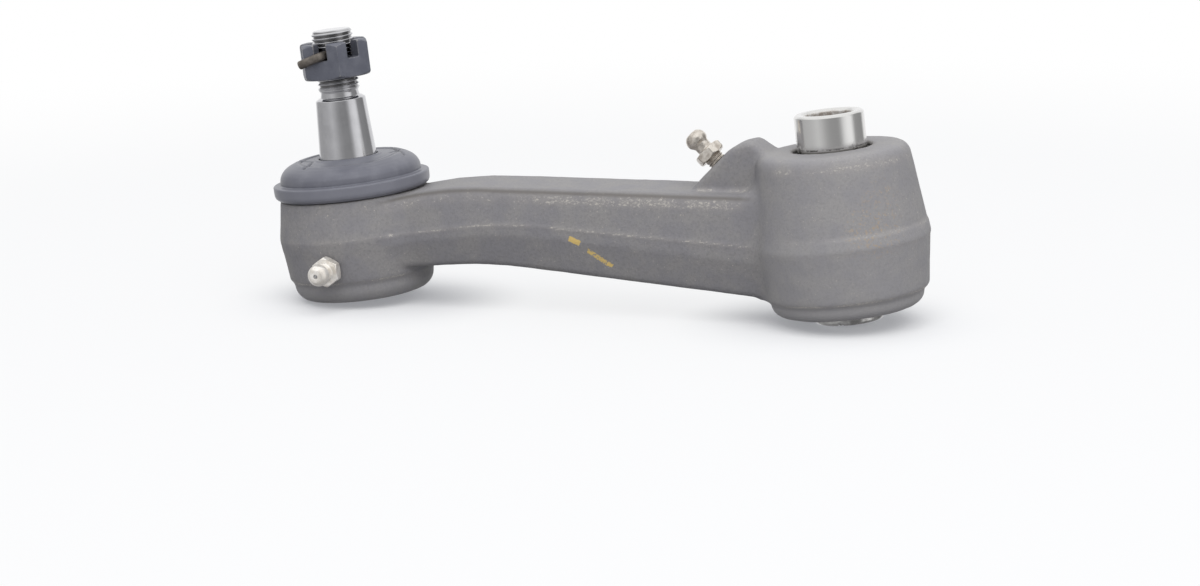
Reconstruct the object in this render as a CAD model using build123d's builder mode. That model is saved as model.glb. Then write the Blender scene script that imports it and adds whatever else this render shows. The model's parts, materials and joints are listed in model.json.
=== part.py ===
from build123d import *

import math
import os

os.makedirs("parts", exist_ok=True)

# Idler arm of a steering linkage, in millimetres. Z runs along the pivot axis,
# X from the ball joint to the pivot, and the origin is on the pivot axis at
# the middle of the sleeve.

# Arm between the two axes
centre_distance = 172.0
arm_top_half_width = 14.0
arm_parting_half_width = 15.6
arm_bottom_half_width = 12.8
arm_top_round = 3.0
arm_bottom_round = 2.6
arm_top_knee_x = -131.0
arm_top_knee_z = 20.65
arm_top_rise = 0.11
arm_top_fall = 0.096
arm_parting_knee_z = 7.4
arm_parting_knee_x = -112.0
arm_parting_rise = 0.043
arm_parting_fall = 0.1545
arm_land_at_housing = 2.2
arm_land_growth = 0.02
arm_bottom_knee_z = -6.4
arm_bottom_knee_x = -121.0
arm_bottom_fall = 0.18
arm_knee_ease = 14.0
arm_section_xs = (-137.0, -124.0, -112.0, -99.0, -60.0)
arm_inside_boss = 12.0
arm_eye_blend = 6.0
arm_housing_blend = 12.0
arm_housing_blend_steps = 4

# Eye round the pivot
eye_top_z = 22.8
eye_bottom_z = -30.5
eye_top_radius = 24.6
eye_top_round = 4.2
eye_parting_z = -7.5
eye_parting_radius = 28.9
eye_skirt_z = -24.4
eye_skirt_radius = 27.0
eye_rim_drop = 1.4
eye_rim_radius = 25.1
eye_rim_round = 4.2
eye_bore_radius = 12.7
eye_bore_chamfer = 0.6

# Socket housing round the ball
housing_top_z = 19.3
housing_top_radius = 25.2
housing_top_round = 0.8
housing_parting_z = 6.2
housing_parting_radius = 27.1
housing_skirt_z = -8.3
housing_skirt_radius = 25.5
housing_rim_drop = 1.3
housing_rim_radius = 24.2
housing_rim_round = 5.6
housing_bottom_z = -16.1
socket_bore_radius = 17.5
ceiling_thickness = 4.7
throat_radius = 12.7
throat_mouth_radius = 14.6

# Ball stud
ball_centre_z = 4.5
ball_radius = 12.7
ball_flat_depth = 9.0
neck_radius = 7.8
neck_height = 19.5
shoulder_length = 5.0
taper_large_radius = 10.05
taper_small_radius = 8.55
taper_length = 22.7
relief_radius = 6.4
relief_step = 0.8
relief_length = 3.7
thread_radius = 14.29 / 2
thread_length = 20.2
stud_end_chamfer = 1.1
pin_hole_radius = 1.75

# Castle nut
nut_across_flats = 22.2
nut_seat_height = 3.9
nut_height = 12.3
nut_slot_width = 4.5
nut_slot_depth = 5.6
nut_corner_chamfer = 1.7
nut_bore_chamfer = 0.8
nut_chamfer_slope = 0.6

# Cotter pin
pin_radius = 1.5
pin_slit = 0.2
pin_leg_reach = 7.4
pin_leg_fall = 2.2
pin_bend_radius = 2.0
pin_eye_radius = 1.9
pin_eye_thickness = 2.4
pin_clearance = 0.05

# Dust boot
boot_ring_radius = 27.0
boot_ring_edge = 0.4
boot_ring_taper = 0.5
boot_ring_depth = 5.5
boot_seat_gap = 0.2
boot_ring_height = 5.1
boot_dome_radius = 24.4
boot_crown_radius = 17.5
boot_dome_height = 7.0
boot_dome_bulge = 1.75
boot_lip_height = 0.7
boot_crown_lift = 0.8
boot_lip_wall = 1.4
boot_wall = 2.0
boot_clearance = 0.25

# Ball seats, preload spring and cover
running_clearance = 0.06
seat_parting_gap = 0.6
seat_relief_angle = 62.0
lower_seat_hole_radius = 5.0
lower_seat_clearance = 0.1
cover_thickness = 2.5
cover_radius = 19.5
cover_dish_radius = 8.0
cover_dish_depth = 0.8
spring_inner_radius = 6.0
spring_outer_radius = 15.0
spring_thickness = 0.9
spring_height = 2.35
spring_gap = 0.1
lip_inner_radius = 17.2
lip_height = 2.7

# Pivot sleeve, its bushes and seals
sleeve_radius = 11.4
sleeve_length = 68.6
sleeve_bore_radius = 8.1
sleeve_outer_chamfer = 0.7
sleeve_bore_chamfer = 0.9
bush_length = 13.0
bush_seal_gap = 0.5
seal_section_depth = 1.3
seal_height = 2.0
seal_clearance = 0.08
seal_inset = 1.4

# Grease boss beside the eye
gusset_toe_x = -49.4
gusset_toe_z = 11.5
gusset_angle = 40.3
gusset_crest_z = 26.6
gusset_crest_rise = 0.09
gusset_crest_length = 6.5
gusset_crest_sink = 3.5
gusset_bore_wall = 2.0
gusset_root_depth = 4.0
gusset_half_width = 6.75
gusset_slope_round = 14.0
gusset_crest_round = 2.5
gusset_edge_round = 2.0

# Grease fittings
fitting_thread_radius = 3.17
pivot_fitting_standoff = 2.6
socket_fitting_standoff = 1.2
fitting_thread_depth = 5.5
fitting_hex_across_flats = 9.0
fitting_hex_height = 3.2
fitting_hex_chamfer = 0.6
fitting_neck_radius = 2.7
fitting_neck_height = 2.5
fitting_head_radius = 3.75
fitting_head_height = 4.8
fitting_head_slope = 1.5
fitting_head_land = 0.6
fitting_tip_radius = 2.15
fitting_mouth_radius = 0.7
fitting_mouth_depth = 0.35
check_ball_radius = 1.1
check_bore_radius = 1.25
check_seat_gap = 0.02
check_spring_wire = 0.22
check_spring_radius = 0.9
check_spring_turns = 4
check_spring_height = 4.2
grease_hole_radius = 1.5
pivot_passage_length = 37.0
pivot_fitting_along_slope = 13.8
socket_fitting_z = -3.3

ball_x = -centre_distance
cut_overrun = 1.0

# Heights that follow from the sizes above
socket_ceiling_z = housing_top_z - ceiling_thickness
neck_top_z = ball_centre_z + neck_height
taper_start_z = neck_top_z + shoulder_length
taper_end_z = taper_start_z + taper_length
relief_top_z = taper_end_z + relief_length
stud_top_z = relief_top_z + thread_length
nut_seat_z = relief_top_z + nut_seat_height
nut_top_z = nut_seat_z + nut_height
pin_z = nut_top_z - nut_slot_depth + pin_radius + pin_clearance
boot_seat_z = housing_top_z + boot_seat_gap
boot_ring_top_z = boot_seat_z + boot_ring_height
boot_crown_z = boot_ring_top_z + boot_dome_height
boot_lip_z = boot_crown_z + boot_lip_height
cover_top_z = housing_bottom_z + lip_height + cover_thickness
lower_seat_base_z = cover_top_z + spring_height + spring_gap
upper_seal_z = eye_top_z - seal_inset - seal_height
lower_seal_z = eye_bottom_z + seal_inset
upper_bush_z = upper_seal_z - bush_seal_gap - bush_length
lower_bush_z = lower_seal_z + seal_height + bush_seal_gap

ball_axis = Axis((ball_x, 0, 0), (0, 0, 1))
ball_plane = Plane(origin=(ball_x, 0, 0), x_dir=(1, 0, 0), z_dir=(0, -1, 0))


def bent_line(x, knee_x, knee_z, rise, fall):
    """Height of an edge that climbs gently to its knee and falls beyond it, eased over the knee."""
    beyond = x - knee_x
    if beyond <= -arm_knee_ease:
        return knee_z + rise * beyond
    if beyond >= arm_knee_ease:
        return knee_z - fall * beyond
    bend = (rise + fall) * (beyond + arm_knee_ease) ** 2 / (4 * arm_knee_ease)
    return knee_z + rise * beyond - bend


def corner_at(profile, radius, height):
    """Corner of a profile at one radius (or distance along it) and height, for rounding it."""
    return profile.vertices().sort_by_distance((radius, height, 0))[0]


# Face and axis of the sloped grease boss, and of the fitting in the housing's side
slope = math.radians(gusset_angle)
slope_normal = (-math.sin(slope), 0, math.cos(slope))
pivot_fitting_face = Plane(
    origin=(
        gusset_toe_x + pivot_fitting_along_slope * math.cos(slope),
        0,
        gusset_toe_z + pivot_fitting_along_slope * math.sin(slope),
    ),
    x_dir=(0, -1, 0),
    z_dir=slope_normal,
)
housing_draft = (housing_parting_radius - housing_skirt_radius) / (housing_parting_z - housing_skirt_z)
socket_fitting_y = housing_skirt_radius + housing_draft * (socket_fitting_z - housing_skirt_z)
socket_fitting_face = Plane(
    origin=(ball_x, -socket_fitting_y, socket_fitting_z),
    x_dir=(1, 0, 0),
    z_dir=(0, -1, 0),
)


# Where the arm's sides run out into the housing on an arc tangent to both
blend_offset = arm_parting_half_width + arm_housing_blend
blend_reach = math.sqrt((housing_parting_radius + arm_housing_blend) ** 2 - blend_offset**2)
blend_start_x = ball_x + blend_reach
blend_end_x = ball_x + blend_reach * housing_parting_radius / (housing_parting_radius + arm_housing_blend)
blend_stations = [
    blend_end_x + (blend_start_x - blend_end_x) * step / arm_housing_blend_steps
    for step in range(arm_housing_blend_steps + 1)
]


def housing_flare(x):
    """Extra half width of the arm at x, from the arc that blends it into the housing."""
    inward = min(max(blend_start_x - x, 0.0), blend_start_x - blend_end_x)
    return arm_housing_blend - math.sqrt(arm_housing_blend**2 - inward**2)


# Grease boss: a wedge whose slope carries the fitting square to it
gusset_crest_x = gusset_toe_x + (gusset_crest_z - gusset_toe_z) / math.tan(slope)
gusset_peak_z = gusset_crest_z + gusset_crest_rise * gusset_crest_length
gusset_inner_x = -eye_bore_radius - gusset_bore_wall
with BuildPart() as grease_boss:
    with BuildSketch(Plane.XZ) as wedge:
        with BuildLine():
            Polyline(
                (gusset_toe_x, gusset_toe_z),
                (gusset_crest_x, gusset_crest_z),
                (gusset_crest_x + gusset_crest_length, gusset_peak_z),
                (gusset_inner_x, eye_top_z - gusset_crest_sink),
                (gusset_inner_x, gusset_toe_z - gusset_root_depth),
                (gusset_toe_x, gusset_toe_z - gusset_root_depth),
                close=True,
            )
        make_face()
        fillet(corner_at(wedge, gusset_crest_x + gusset_crest_length, gusset_peak_z), gusset_crest_round)
        fillet(corner_at(wedge, gusset_crest_x, gusset_crest_z), gusset_slope_round)
    extrude(amount=gusset_half_width, both=True)
    flanks = grease_boss.edges().filter_by(lambda e: abs(abs(e.center().Y) - gusset_half_width) < 0.01)
    clear_x = gusset_inner_x - gusset_edge_round
    ridge = flanks.filter_by(lambda e: e.center().Z > gusset_toe_z and e.center().X < clear_x)
    fillet(ridge, gusset_edge_round)


# Forged arm: a drafted bar with rounded edges that runs into both bosses
with BuildPart() as arm_forging:
    stations = [ball_x + arm_inside_boss, *blend_stations, *arm_section_xs, -arm_inside_boss]
    for x in stations:
        top = bent_line(x, arm_top_knee_x, arm_top_knee_z, arm_top_rise, arm_top_fall)
        parting = bent_line(x, arm_parting_knee_x, arm_parting_knee_z, arm_parting_rise, arm_parting_fall)
        land = parting - arm_land_at_housing - arm_land_growth * (x - ball_x)
        bottom = bent_line(x, arm_bottom_knee_x, arm_bottom_knee_z, 0, arm_bottom_fall)
        flare = housing_flare(x)
        with BuildSketch(Plane(origin=(x, 0, 0), x_dir=(0, 1, 0), z_dir=(1, 0, 0))) as section:
            with BuildLine():
                Polyline(
                    (-arm_bottom_half_width - flare, bottom),
                    (arm_bottom_half_width + flare, bottom),
                    (arm_parting_half_width + flare, land),
                    (arm_parting_half_width + flare, parting),
                    (arm_top_half_width + flare, top),
                    (-arm_top_half_width - flare, top),
                    (-arm_parting_half_width - flare, parting),
                    (-arm_parting_half_width - flare, land),
                    close=True,
                )
            make_face()
            fillet(section.vertices().group_by(Axis.Y)[-1], arm_top_round)
            fillet(section.vertices().group_by(Axis.Y)[0], arm_bottom_round)
    loft(ruled=True)

    # Eye: two drafted cones that meet at the parting line, under a rounded top edge
    eye_draft = (eye_parting_radius - eye_skirt_radius) / (eye_parting_z - eye_skirt_z)
    with BuildSketch(Plane.XZ) as eye_profile:
        with BuildLine():
            Polyline(
                (0, eye_bottom_z),
                (eye_skirt_radius - eye_draft * (eye_skirt_z - eye_bottom_z), eye_bottom_z),
                (eye_parting_radius, eye_parting_z),
                (eye_top_radius, eye_top_z),
                (0, eye_top_z),
                close=True,
            )
        make_face()
        fillet(corner_at(eye_profile, eye_top_radius, eye_top_z), eye_top_round)
    revolve(axis=Axis.Z)
    fillet(arm_forging.edges(Select.NEW), arm_eye_blend)

    # Socket housing, in the same manner
    with BuildSketch(ball_plane) as housing_profile:
        with BuildLine():
            Polyline(
                (0, housing_bottom_z),
                (housing_skirt_radius - housing_draft * (housing_skirt_z - housing_bottom_z), housing_bottom_z),
                (housing_parting_radius, housing_parting_z),
                (housing_top_radius, housing_top_z),
                (0, housing_top_z),
                close=True,
            )
        make_face()
        fillet(corner_at(housing_profile, housing_top_radius, housing_top_z), housing_top_round)
    revolve(axis=ball_axis)
    add(grease_boss.part)

    # Rims under both bosses: stepped in below the skirt and rounded at the bottom
    for plane, axis, skirt, rim_radius, rim_z, rim_round, reach in (
        (
            Plane.XZ,
            Axis.Z,
            (eye_skirt_radius, eye_skirt_z),
            eye_rim_radius,
            (eye_skirt_z - eye_rim_drop, eye_bottom_z),
            eye_rim_round,
            eye_parting_radius + arm_eye_blend,
        ),
        (
            ball_plane,
            ball_axis,
            (housing_skirt_radius, housing_skirt_z),
            housing_rim_radius,
            (housing_skirt_z - housing_rim_drop, housing_bottom_z),
            housing_rim_round,
            housing_parting_radius + arm_eye_blend,
        ),
    ):
        with BuildSketch(plane):
            with BuildLine():
                wall = Polyline(skirt, (rim_radius, rim_z[0]), (rim_radius, rim_z[1] + rim_round))
                foot = JernArc(start=wall @ 1, tangent=(0, -1), radius=rim_round, arc_size=-90)
                Polyline(
                    foot @ 1,
                    (rim_radius - rim_round, rim_z[1] - cut_overrun),
                    (reach, rim_z[1] - cut_overrun),
                    (reach, skirt[1]),
                    skirt,
                )
            make_face()
        revolve(axis=axis, mode=Mode.SUBTRACT)

    # Bore of the eye, with its mouth chamfers and the grooves of both seals
    groove_radius = eye_bore_radius + seal_section_depth + seal_clearance
    with BuildSketch(Plane.XZ):
        with BuildLine():
            Polyline(
                (0, eye_bottom_z - cut_overrun),
                (eye_bore_radius + eye_bore_chamfer, eye_bottom_z - cut_overrun),
                (eye_bore_radius + eye_bore_chamfer, eye_bottom_z),
                (eye_bore_radius, eye_bottom_z + eye_bore_chamfer),
                (eye_bore_radius, lower_seal_z - seal_clearance),
                (groove_radius, lower_seal_z - seal_clearance),
                (groove_radius, lower_seal_z + seal_height + seal_clearance),
                (eye_bore_radius, lower_seal_z + seal_height + seal_clearance),
                (eye_bore_radius, upper_seal_z - seal_clearance),
                (groove_radius, upper_seal_z - seal_clearance),
                (groove_radius, upper_seal_z + seal_height + seal_clearance),
                (eye_bore_radius, upper_seal_z + seal_height + seal_clearance),
                (eye_bore_radius, eye_top_z - eye_bore_chamfer),
                (eye_bore_radius + eye_bore_chamfer, eye_top_z),
                (eye_bore_radius + eye_bore_chamfer, eye_top_z + cut_overrun),
                (0, eye_top_z + cut_overrun),
                close=True,
            )
        make_face()
    revolve(axis=Axis.Z, mode=Mode.SUBTRACT)

    # Socket, bored from below: the lip that is rolled over the cover, the bore and the throat
    with BuildSketch(ball_plane):
        with BuildLine():
            Polyline(
                (0, housing_bottom_z - cut_overrun),
                (lip_inner_radius, housing_bottom_z - cut_overrun),
                (lip_inner_radius, cover_top_z - cover_thickness),
                (cover_radius, cover_top_z - cover_thickness),
                (cover_radius, cover_top_z),
                (socket_bore_radius, cover_top_z),
                (socket_bore_radius, socket_ceiling_z),
                (throat_radius, socket_ceiling_z),
                (throat_mouth_radius, housing_top_z),
                (throat_mouth_radius, housing_top_z + cut_overrun),
                (0, housing_top_z + cut_overrun),
                close=True,
            )
        make_face()
    revolve(axis=ball_axis, mode=Mode.SUBTRACT)

    # Threaded holes of both fittings and the passages drilled on from them
    for face, standoff, reach in (
        (pivot_fitting_face, pivot_fitting_standoff, pivot_passage_length),
        (socket_fitting_face, socket_fitting_standoff, socket_fitting_y - socket_bore_radius + cut_overrun),
    ):
        with BuildSketch(face.offset(standoff)):
            Circle(fitting_thread_radius)
        extrude(amount=-fitting_thread_depth - standoff, mode=Mode.SUBTRACT)
        with BuildSketch(face):
            Circle(grease_hole_radius)
        extrude(amount=-reach, mode=Mode.SUBTRACT)

arm_forging.part.label = "arm_forging"
export_step(arm_forging.part, "parts/arm_forging.step")


# Ball stud: truncated ball, neck, taper, relief and threaded end, all turned
ball_flat_radius = math.sqrt(ball_radius**2 - ball_flat_depth**2)
neck_root_z = ball_centre_z + math.sqrt(ball_radius**2 - neck_radius**2)
with BuildPart() as ball_stud:
    with BuildSketch(ball_plane):
        with BuildLine():
            shank = Polyline(
                (neck_radius, neck_root_z),
                (neck_radius, neck_top_z),
                (taper_large_radius, taper_start_z),
                (taper_small_radius, taper_end_z),
                (relief_radius + relief_step, taper_end_z + relief_step),
                (relief_radius, taper_end_z + relief_step),
                (relief_radius, relief_top_z - (thread_radius - relief_radius)),
                (thread_radius, relief_top_z),
                (thread_radius, stud_top_z - stud_end_chamfer),
                (thread_radius - stud_end_chamfer, stud_top_z),
                (0, stud_top_z),
                (0, ball_centre_z - ball_flat_depth),
                (ball_flat_radius, ball_centre_z - ball_flat_depth),
            )
            ThreePointArc(shank @ 1, (ball_radius, ball_centre_z), shank @ 0)
        make_face()
    revolve(axis=ball_axis)
    with BuildSketch(Plane.XZ):
        with Locations((ball_x, pin_z)):
            Circle(pin_hole_radius)
    extrude(amount=thread_radius + cut_overrun, both=True, mode=Mode.SUBTRACT)
ball_stud.part.label = "ball_stud"
export_step(ball_stud.part, "parts/ball_stud.step")


# Castle nut: a chamfered hexagon with a slot across every pair of flats
nut_corner_radius = nut_across_flats / math.sqrt(3)
with BuildPart() as castle_nut:
    with BuildSketch(Plane.XY.offset(nut_seat_z)):
        with Locations((ball_x, 0)):
            RegularPolygon(nut_across_flats / 2, 6, major_radius=False)
    extrude(amount=nut_height)
    with BuildSketch(ball_plane):
        with BuildLine():
            Polyline(
                (0, nut_seat_z),
                (nut_corner_radius - nut_corner_chamfer, nut_seat_z),
                (nut_corner_radius, nut_seat_z + nut_corner_chamfer * nut_chamfer_slope),
                (nut_corner_radius, nut_top_z - nut_corner_chamfer * nut_chamfer_slope),
                (nut_corner_radius - nut_corner_chamfer, nut_top_z),
                (0, nut_top_z),
                close=True,
            )
        make_face()
    revolve(axis=ball_axis, mode=Mode.INTERSECT)
    with BuildSketch(Plane.XY.offset(nut_top_z)):
        for turn in (30, 90, 150):
            with Locations(Location((ball_x, 0), turn)):
                Rectangle(nut_corner_radius * 2 + cut_overrun, nut_slot_width)
    extrude(amount=-nut_slot_depth, mode=Mode.SUBTRACT)
    with BuildSketch(ball_plane):
        with BuildLine():
            Polyline(
                (0, nut_seat_z - cut_overrun),
                (thread_radius + nut_bore_chamfer, nut_seat_z - cut_overrun),
                (thread_radius + nut_bore_chamfer, nut_seat_z),
                (thread_radius, nut_seat_z + nut_bore_chamfer),
                (thread_radius, nut_top_z - nut_bore_chamfer),
                (thread_radius + nut_bore_chamfer, nut_top_z),
                (thread_radius + nut_bore_chamfer, nut_top_z + cut_overrun),
                (0, nut_top_z + cut_overrun),
                close=True,
            )
        make_face()
    revolve(axis=ball_axis, mode=Mode.SUBTRACT)
castle_nut.part.label = "castle_nut"
export_step(castle_nut.part, "parts/castle_nut.step")


# Cotter pin: two half round legs through the stud, both laid along the nut's flat, and the eye behind
flat_y = nut_across_flats / 2 + pin_clearance
leg_y = -flat_y - pin_radius
eye_centre_y = flat_y + pin_eye_radius + pin_radius
with BuildPart() as cotter_pin:
    with BuildLine():
        FilletPolyline(
            (ball_x, eye_centre_y - pin_eye_radius, pin_z),
            (ball_x, leg_y, pin_z),
            (ball_x - pin_leg_reach, leg_y, pin_z - pin_leg_fall),
            radius=pin_bend_radius,
        )
    with BuildSketch(ball_plane.offset(pin_eye_radius - eye_centre_y)):
        with Locations((0, pin_z)):
            Circle(pin_radius)
            Rectangle(pin_slit, pin_radius * 2 + cut_overrun, mode=Mode.SUBTRACT)
    sweep()
    with BuildSketch(Plane.XY.offset(pin_z - pin_eye_thickness / 2)):
        with Locations((ball_x, eye_centre_y)):
            Circle(pin_eye_radius + pin_radius)
            Circle(pin_eye_radius, mode=Mode.SUBTRACT)
    extrude(amount=pin_eye_thickness)
cotter_pin.part.label = "cotter_pin"
export_step(cotter_pin.part, "parts/cotter_pin.step")


# Dust boot: a clamping ring on the housing, a rounded dome, a flat crown and a lip round the taper
boot_lip_radius = taper_large_radius + boot_clearance
with BuildPart() as dust_boot:
    with BuildSketch(ball_plane):
        with BuildLine():
            outside = Polyline(
                (boot_dome_radius, boot_ring_top_z),
                (boot_ring_radius - boot_ring_edge, boot_ring_top_z),
                (boot_ring_radius, boot_ring_top_z - boot_ring_edge),
                (boot_ring_radius - boot_ring_taper, boot_seat_z),
                (boot_ring_radius - boot_ring_depth, boot_seat_z),
                (boot_dome_radius - boot_wall, boot_ring_top_z),
            )
            inner_top = (boot_crown_radius, boot_crown_z - boot_wall)
            inner_mid = (
                boot_dome_radius - boot_wall - boot_dome_bulge,
                boot_crown_z - boot_wall - boot_dome_bulge,
            )
            ThreePointArc(outside @ 1, inner_mid, inner_top)
            lip = Polyline(
                inner_top,
                (boot_lip_radius, boot_lip_z - boot_crown_lift - boot_wall),
                (boot_lip_radius, boot_lip_z),
                (boot_lip_radius + boot_lip_wall, boot_lip_z),
                (boot_lip_radius + boot_lip_wall, boot_lip_z - boot_crown_lift),
                (boot_crown_radius, boot_crown_z),
            )
            outer_mid = (boot_dome_radius - boot_dome_bulge, boot_crown_z - boot_dome_bulge)
            ThreePointArc(lip @ 1, outer_mid, outside @ 0)
        make_face()
    revolve(axis=ball_axis)
dust_boot.part.label = "dust_boot"
export_step(dust_boot.part, "parts/dust_boot.step")


# Ball seats: the upper one is pressed into the bore, the lower cup turns on the preload spring
seat_radius = ball_radius + running_clearance
upper_seat_z = ball_centre_z + seat_parting_gap / 2
lower_seat_z = ball_centre_z - seat_parting_gap / 2
relief = math.radians(seat_relief_angle)


def seat_point(height):
    """Point of the spherical seat at one height above the ball's centre."""
    return (math.sqrt(seat_radius**2 - height**2), ball_centre_z + height)


with BuildPart() as upper_ball_seat:
    with BuildSketch(ball_plane):
        with BuildLine():
            wall = Polyline(
                seat_point(seat_radius * math.cos(relief)),
                (throat_radius, socket_ceiling_z),
                (socket_bore_radius, socket_ceiling_z),
                (socket_bore_radius, upper_seat_z),
                seat_point(seat_parting_gap / 2),
            )
            ThreePointArc(wall @ 1, seat_point(seat_radius * math.cos(relief) / 2), wall @ 0)
        make_face()
    revolve(axis=ball_axis)
upper_ball_seat.part.label = "upper_ball_seat"
export_step(upper_ball_seat.part, "parts/upper_ball_seat.step")

lower_seat_depth = math.sqrt(seat_radius**2 - lower_seat_hole_radius**2)
with BuildPart() as lower_ball_seat:
    with BuildSketch(ball_plane):
        with BuildLine():
            cup = Polyline(
                seat_point(-lower_seat_depth),
                (lower_seat_hole_radius, lower_seat_base_z),
                (socket_bore_radius - lower_seat_clearance, lower_seat_base_z),
                (socket_bore_radius - lower_seat_clearance, lower_seat_z),
                seat_point(-seat_parting_gap / 2),
            )
            ThreePointArc(cup @ 1, seat_point(-lower_seat_depth / 2), cup @ 0)
        make_face()
    revolve(axis=ball_axis)
lower_ball_seat.part.label = "lower_ball_seat"
export_step(lower_ball_seat.part, "parts/lower_ball_seat.step")


# Preload spring: a dished washer between the cover and the lower seat
spring_top_z = lower_seat_base_z - spring_gap
with BuildPart() as preload_spring:
    with BuildSketch(ball_plane):
        with BuildLine():
            Polyline(
                (spring_inner_radius, spring_top_z - spring_thickness),
                (spring_outer_radius, cover_top_z),
                (spring_outer_radius, cover_top_z + spring_thickness),
                (spring_inner_radius, spring_top_z),
                close=True,
            )
        make_face()
    revolve(axis=ball_axis)
preload_spring.part.label = "preload_spring"
export_step(preload_spring.part, "parts/preload_spring.step")


# Socket cover: a pressed disc with a shallow dish, held by the housing's rolled lip
with BuildPart() as socket_cover:
    with BuildSketch(Plane.XY.offset(cover_top_z)):
        with Locations((ball_x, 0)):
            Circle(cover_radius)
    extrude(amount=-cover_thickness)
    with BuildSketch(Plane.XY.offset(cover_top_z - cover_thickness)):
        with Locations((ball_x, 0)):
            Circle(cover_dish_radius)
    extrude(amount=cover_dish_depth, mode=Mode.SUBTRACT)
socket_cover.part.label = "socket_cover"
export_step(socket_cover.part, "parts/socket_cover.step")


# Pivot sleeve
with BuildPart() as pivot_sleeve:
    with BuildSketch(Plane.XY.offset(-sleeve_length / 2)):
        Circle(sleeve_radius)
        Circle(sleeve_bore_radius, mode=Mode.SUBTRACT)
    extrude(amount=sleeve_length)
    rims = pivot_sleeve.edges().filter_by(GeomType.CIRCLE).group_by(SortBy.RADIUS)
    chamfer(rims[-1], sleeve_outer_chamfer)
    rims = pivot_sleeve.edges().filter_by(GeomType.CIRCLE).group_by(SortBy.RADIUS)
    chamfer(rims[0], sleeve_bore_chamfer)
pivot_sleeve.part.label = "pivot_sleeve"
export_step(pivot_sleeve.part, "parts/pivot_sleeve.step")


# Bearing bushes, pressed into the eye
for bush_name, bush_z in (("upper_bushing", upper_bush_z), ("lower_bushing", lower_bush_z)):
    with BuildPart() as bushing:
        with BuildSketch(Plane.XY.offset(bush_z)):
            Circle(eye_bore_radius)
            Circle(sleeve_radius + running_clearance, mode=Mode.SUBTRACT)
        extrude(amount=bush_length)
    bushing.part.label = bush_name
    export_step(bushing.part, f"parts/{bush_name}.step")


# Seal rings in the eye's grooves
for seal_name, seal_z in (("upper_pivot_seal", upper_seal_z), ("lower_pivot_seal", lower_seal_z)):
    with BuildPart() as seal:
        with BuildSketch(Plane.XY.offset(seal_z)):
            Circle(eye_bore_radius + seal_section_depth)
            Circle(sleeve_radius + seal_clearance, mode=Mode.SUBTRACT)
        extrude(amount=seal_height)
    seal.part.label = seal_name
    export_step(seal.part, f"parts/{seal_name}.step")


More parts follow.
